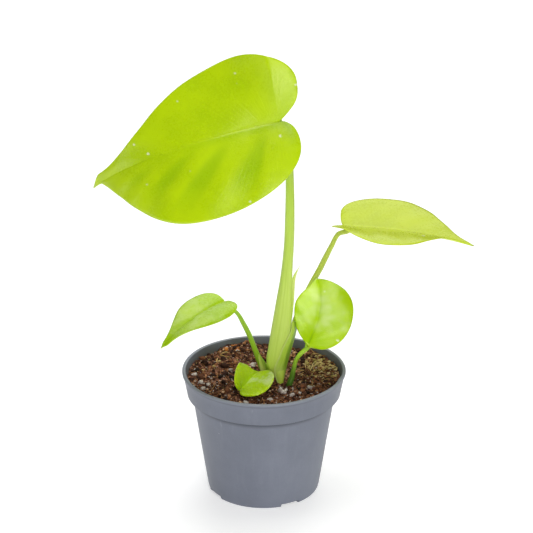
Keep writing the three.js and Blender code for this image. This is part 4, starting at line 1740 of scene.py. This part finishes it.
@dataclass
class Studio:
    """The camera of the photograph, a plain pale floor and soft lights."""

    distance: float = 1.2
    pitch: float = 23.45
    focal_pixels: float = 2850
    frame_pixels: float = 533
    aim: tuple[float, float, float] = (0.00126, 0.0, 0.10282)
    floor_size: float = 6.0
    floor_sides: int = 96

    def camera(self) -> None:
        """Places the camera."""
        pitch = math.radians(self.pitch)
        data = bpy.data.cameras.new("camera")
        data.sensor_width = 36
        data.lens = data.sensor_width * self.focal_pixels / self.frame_pixels
        data.clip_end = 50
        made = placed("camera", data)
        back = Vector((0, -math.cos(pitch), math.sin(pitch)))
        made.location = Vector(self.aim) + back * self.distance
        made.rotation_euler = (math.pi / 2 - pitch, 0, 0)
        bpy.context.scene.camera = made

    def floor(self) -> None:
        """Lays a round paper floor."""
        radius = self.floor_size / 2 / MM
        turn = TURN * np.arange(self.floor_sides) / self.floor_sides
        ring = np.stack([radius * np.cos(turn), radius * np.sin(turn), 0 * turn], -1)
        mesh = mesh_of("floor", ring, [list(range(len(ring)))])
        mesh.materials.append(FloorFinish().material())
        placed("floor", mesh)

    def light(self, name: str, azimuth: float, elevation: float, distance: float, size: float,
              radiance: float) -> None:
        """Hangs one square soft light that faces the plant.

        Args:
            name: Its name.
            azimuth: Degrees round from the camera's side, to the right.
            elevation: Degrees above the horizon.
            distance: Metres from the plant.
            size: Metres across.
            radiance: How bright its face is.
        """
        data = bpy.data.lights.new(name, "AREA")
        data.shape = "SQUARE"
        data.size = size
        data.energy = radiance * math.pi * size**2
        made = placed(name, data)
        a, e = math.radians(azimuth), math.radians(elevation)
        way = Vector((math.sin(a) * math.cos(e), -math.cos(a) * math.cos(e), math.sin(e)))
        made.location = Vector((0, 0, 0.1)) + way * distance
        made.rotation_mode = "QUATERNION"
        made.rotation_quaternion = way.to_track_quat("Z", "Y")

    def world(self, strength: float) -> None:
        """Surrounds the scene with even white light.

        Args:
            strength: How bright it is.
        """
        world = bpy.data.worlds.new("studio")
        world.use_nodes = True
        background = world.node_tree.nodes["Background"]
        background.inputs["Color"].default_value = (1.0, 1.0, 1.0, 1.0)
        background.inputs["Strength"].default_value = strength
        bpy.context.scene.world = world

    def build(self) -> None:
        """Sets up the whole studio."""
        self.camera()
        self.floor()
        self.light("top", 180, 79, 1.8, 1.2, 4.8)
        self.light("front", 5, 33, 1.7, 0.7, 5.2)
        self.light("low_right", 25, 5, 1.6, 0.45, 9.0)
        self.light("left", -85, 5, 1.8, 0.5, 2.8)
        self.light("back", 172, 40, 1.8, 1.1, 2.0)
        self.world(0.12)
        bpy.context.scene.view_settings.view_transform = "Standard"


LEAF_1 = LeafShape(
    93.5, (6.4, -14, 173.4), 190, -10, -55, 64, 1.3, -1, 5, 10, {Side.LEFT: 0.7, Side.RIGHT: 0.2},
    (0, 0.05, 0.2, 0.36, 0.54, 0.73, 1),
    {Side.LEFT: HalfShape(33.9, 0.37, 6.3, 10, 0.08, 0.7, 0.43, 16, 14, 15, 18, 0.12),
     Side.RIGHT: HalfShape(30.1, 0.15, 10.3, 15.8, 0.08, 3.7, 0.03, 34, 1, 15, 16, 0.34)})
LEAF_2 = LeafShape(
    55, (35.4, 22, 111.9), -5, -1, -3.5, 15, 1.5, 0, -8.5, 10, {Side.LEFT: 0.2, Side.RIGHT: 0.2},
    (0, 0.07, 0.22, 0.42, 0.66, 1),
    {Side.LEFT: HalfShape(23, 0.37, 3.1, 10.1, 0.06, 1.9, 0.35, 21, 22, 15, 7.5),
     Side.RIGHT: HalfShape(22.2, 0.39, 6, 7.5, 0.1, 0.9, 0.19, 26, 14, 15, 30)})
LEAF_3 = LeafShape(
    36.9, (18.5, -10, 70.4), 58.5, 36.7, 16.8, 22.5, 1.3, 40.6, -4, 10, {Side.LEFT: 0.15, Side.RIGHT: 0.15},
    (0, 0.08, 0.28, 0.6, 1),
    {Side.LEFT: HalfShape(10.8, 0.52, -1.2, -0.4, 0.03, 1.4, 0.42, 22, 14, 15, 22),
     Side.RIGHT: HalfShape(14.8, 0.4, -0.1, 4.4, 0.03, 1.4, 0.76, 18, 15, 15, 24)})
LEAF_4 = LeafShape(
    39.2, (-16.5, 0, 86.7), 229.8, 3.3, -13, 44, 1.3, -2, -1, 15, {Side.LEFT: 0.1, Side.RIGHT: 0.1},
    (0, 0.08, 0.28, 0.6, 1),
    {Side.LEFT: HalfShape(9.3, 0.21, 2.6, 3.3, 0.08, 1.8, 0.04, 17.5, 14, 15, 32),
     Side.RIGHT: HalfShape(9.7, 0.26, 0.3, 3.7, 0.08, 1.1, 0.11, 16, 10, 15, 23)})
LEAF_5 = LeafShape(
    19.6, (-9.3, -16.2, 53.5), 62.5, 12.5, 27.7, 35, 1.3, 2, -37, 0, {Side.LEFT: 0.0, Side.RIGHT: 0.0},
    (0, 0.1, 0.4, 1),
    {Side.LEFT: HalfShape(8.1, 0.35, 2.5, 2.8, 0.05, 0.9, 0.32, 42, 45, 15, 10),
     Side.RIGHT: HalfShape(12.7, 0.23, 4.5, 4.4, 0.04, 0.9, 0.43, 30, 25, 15, -11)})


@dataclass
class Plant:
    """The leaves, their stalks, the spear of the next leaf and the sheaths at the foot."""

    def blades(self) -> list[Blade]:
        """Lists the blades.

        Returns:
            One for each leaf.
        """
        return [
            Blade("leaf_1_blade", LEAF_1, LeafFinish("leaf_1", "b0d000", "c2e000"), 190, 44, 1),
            Blade("leaf_2_blade", LEAF_2,
                  LeafFinish("leaf_2", "b8cb00", "c8da08", "aec000", under="c6d840"), 130, 30, 2),
            Blade("leaf_3_blade", LEAF_3,
                  LeafFinish("leaf_3", "a4cc00", "bcdc00", rib="7fae08", rib_amount=0.6, rib_end=0.3,
                             gloss=0.2, painted_sheen=0.5, painted_sheen_scale=50), 110, 28, 3),
            Blade("leaf_4_blade", LEAF_4, LeafFinish("leaf_4", "a0c800", "b4d600", painted_sheen=0.2), 110, 26, 4),
            Blade("leaf_5_blade", LEAF_5,
                  LeafFinish("leaf_5", "b2d800", "c2e200", gloss=0.16, relief=0.5, painted_sheen=0.8,
                             painted_sheen_scale=130, one_sided=True), 90, 24, 5, waviness=0.02),
        ]

    def stalks(self, blades: list[Blade]) -> list[Stalk]:
        """Lists the stalks.

        Args:
            blades: The blades that they carry.

        Returns:
            One for each leaf, and the spear.
        """
        return [
            Stalk("leaf_1_petiole", (
                (7, -5.8, 40, 1.4, 1.4), (7.1, -6, 50, 1.3, 1.4), (6.9, -5.7, 53.5, 1.8, 1.7),
                (6.3, -5.1, 56.4, 2.8, 2.2), (5.2, -4.4, 60, 3.9, 2.7), (6, -4.1, 66.8, 4, 2.8),
                (6.9, -4.2, 72.5, 4.1, 2.8), (8.05, -4.6, 81.1, 3.95, 2.75), (8.75, -5, 89.6, 3.35, 2.5),
                (9.4, -5.5, 98.1, 2.65, 2.3), (9.9, -5.8, 105, 2.3, 2.15), (10.6, -6.4, 114.9, 2.1, 2),
                (10.9, -7.4, 126, 2, 1.9), (10.9, -9, 142.9, 1.75, 1.75), (10.5, -10, 154.8, 1.6, 1.65),
                (9.4, -11.3, 164.1, 1.5, 1.6), (6.3, -14, 173.4, 1.5, 1.6)),
                StalkFinish("stalk_1", "bcd546", "c2db5c", "a8c636", "9cbc30", shade_amount=0.15, speck=True),
                blades[0], steps=220, sides=56, ribs=21, rib_height=0.012),
            Stalk("leaf_2_petiole", (
                (7.7, -0.6, 41, 1.3, 1.3), (7.6, -0.2, 50.6, 1.4, 1.4), (8.2, 0.5, 56.2, 1.8, 1.5),
                (9.9, 1, 63.3, 1.8, 1.5), (12.1, 2.4, 70.2, 1.6, 1.4), (13.8, 6, 75.4, 1.35, 1.3),
                (17.1, 14, 81.1, 1.25, 1.2), (20.5, 21.2, 85.3, 1.2, 1.15), (24, 23.7, 91, 1.25, 1.15),
                (26.5, 23.5, 96.6, 1.2, 1.1), (29.1, 23, 102.4, 1.05, 1), (32, 22.5, 108.2, 1, 1),
                (35.4, 22, 111.9, 1.1, 1)),
                StalkFinish("stalk_2", "86a41e", "a3ba34", "b8c84a", "889c26"), blades[1], steps=140),
            Stalk("leaf_3_petiole", (
                (10.6, -9, 42, 1.1, 1.1), (10.9, -9, 51.3, 1.3, 1.2), (11.9, -8.6, 54.8, 1.2, 1.1),
                (12.8, -8.3, 58.9, 0.95, 0.95), (13.8, -8.5, 63.3, 0.85, 0.85), (15.6, -9, 66.4, 0.9, 0.9),
                (18.5, -10, 70.4, 1, 1)),
                StalkFinish("stalk_3", "3c6c06", "74a81a", "a6d02c", "4e800c", (0.4, 0.85)), blades[2]),
            Stalk("leaf_4_petiole", (
                (1, 5.5, 41.9, 1.4, 1.3), (0.8, 5.2, 50.9, 1.9, 1.5), (-0.9, 4.8, 55.4, 1.7, 1.4),
                (-2.4, 4.2, 58.9, 1.3, 1.2), (-3.9, 3, 63.6, 1.1, 1), (-5.9, 2, 69.7, 1.1, 1),
                (-8.4, 1.2, 75.6, 1, 0.9), (-11.7, 0.5, 81.6, 0.8, 0.8), (-16.5, 0, 86.7, 0.9, 0.9)),
                # Painted light: these colours are lightened to offset the shade round the stalk's foot.
                StalkFinish("stalk_4", "9cc030", "94bc26", "9ac42c", "78a01c"), blades[3]),
            Stalk("leaf_5_petiole", (
                (3.4, -9, 43, 0.9, 0.9), (3.2, -9.4, 49.9, 0.9, 0.9), (1.2, -11, 52.3, 0.8, 0.8),
                (-3, -14.2, 52.5, 0.75, 0.75), (-9.4, -15, 53, 0.8, 0.8)),
                StalkFinish("stalk_5", "6fa31c", "7fb024", "8fc02c", "5c8a14"), blades[4]),
            Stalk("spear", (
                (10.6, -1.2, 74, 0.5, 0.5), (11.3, -1.5, 80, 0.8, 0.7), (12, -2.4, 89, 0.9, 0.7),
                (12.3, -2.9, 95.5, 0.9, 0.65), (13.1, -3, 99.7, 0.6, 0.5), (14.4, -3, 102.7, 0.4, 0.4),
                (15.9, -3, 105.4, 0.3, 0.3)),
                StalkFinish("young_spear", "c6de58", "d0e268", "d8e684", "b0cc48"), taper=0.2, ribs=8),
        ]

    def sheaths(self) -> list[Sheath]:
        """Lists the sheaths.

        Returns:
            One at the foot of the first stalk and one at that of the fourth.
        """
        return [
            Sheath("leaf_1_sheath", SheathFinish("sheath_1"), (
                (12.1, -5.2, 79.8, 13.7, -2, 78.5), (11.5, -5.2, 75.1, 14.2, -1.2, 74.9),
                (9.7, -6.5, 71.7, 12.95, -1, 69.2), (7.75, -7, 67.6, 11.55, -1.2, 64.1),
                (6.55, -7.15, 64.1, 10.8, -2, 60.9), (4.6, -7.4, 59, 9.74, -3.5, 57.2),
                (5.2, -7, 54.1, 8.86, -5, 53.2), (6.9, -7.6, 50.5, 7.75, -6.6, 50.1))),
            # Painted light: the second sheath's colours are paler than the first's to lift it out of the
            # shade where it sits.
            Sheath("leaf_4_sheath", SheathFinish("sheath_4", "dcea90", "cfe06a", "a8c840"), (
                (-2.4, 3.1, 61.5, -2.2, 3.3, 61.4), (-2.3, 3, 59.9, -1.3, 3.4, 59.6),
                (-2, 3, 57.5, -0.3, 3.5, 57.6), (-1.7, 3.1, 55.5, 0.45, 3.7, 55.3),
                (-1.3, 3.3, 53.2, 1.05, 3.9, 53), (-0.9, 3.4, 51.2, 1.2, 4, 51)), groove=0.05),
        ]

    def build(self) -> list[Stalk]:
        """Makes every piece of the plant.

        Returns:
            Its stalks, which stand in the mix.
        """
        blades = self.blades()
        stalks = self.stalks(blades)
        for part in [*blades, *stalks, *self.sheaths()]:
            part.build()
        return stalks


def main() -> None:
    """Builds the studio, the pot, the plant and the mix."""
    logging.basicConfig(level=logging.INFO, format="%(message)s")
    Studio().build()
    pot = NurseryPot()
    pot.build(PotFinish())
    stalks = Plant().build()
    PottingMix(pot, stalks).build()


if __name__ == "__main__":
    main()
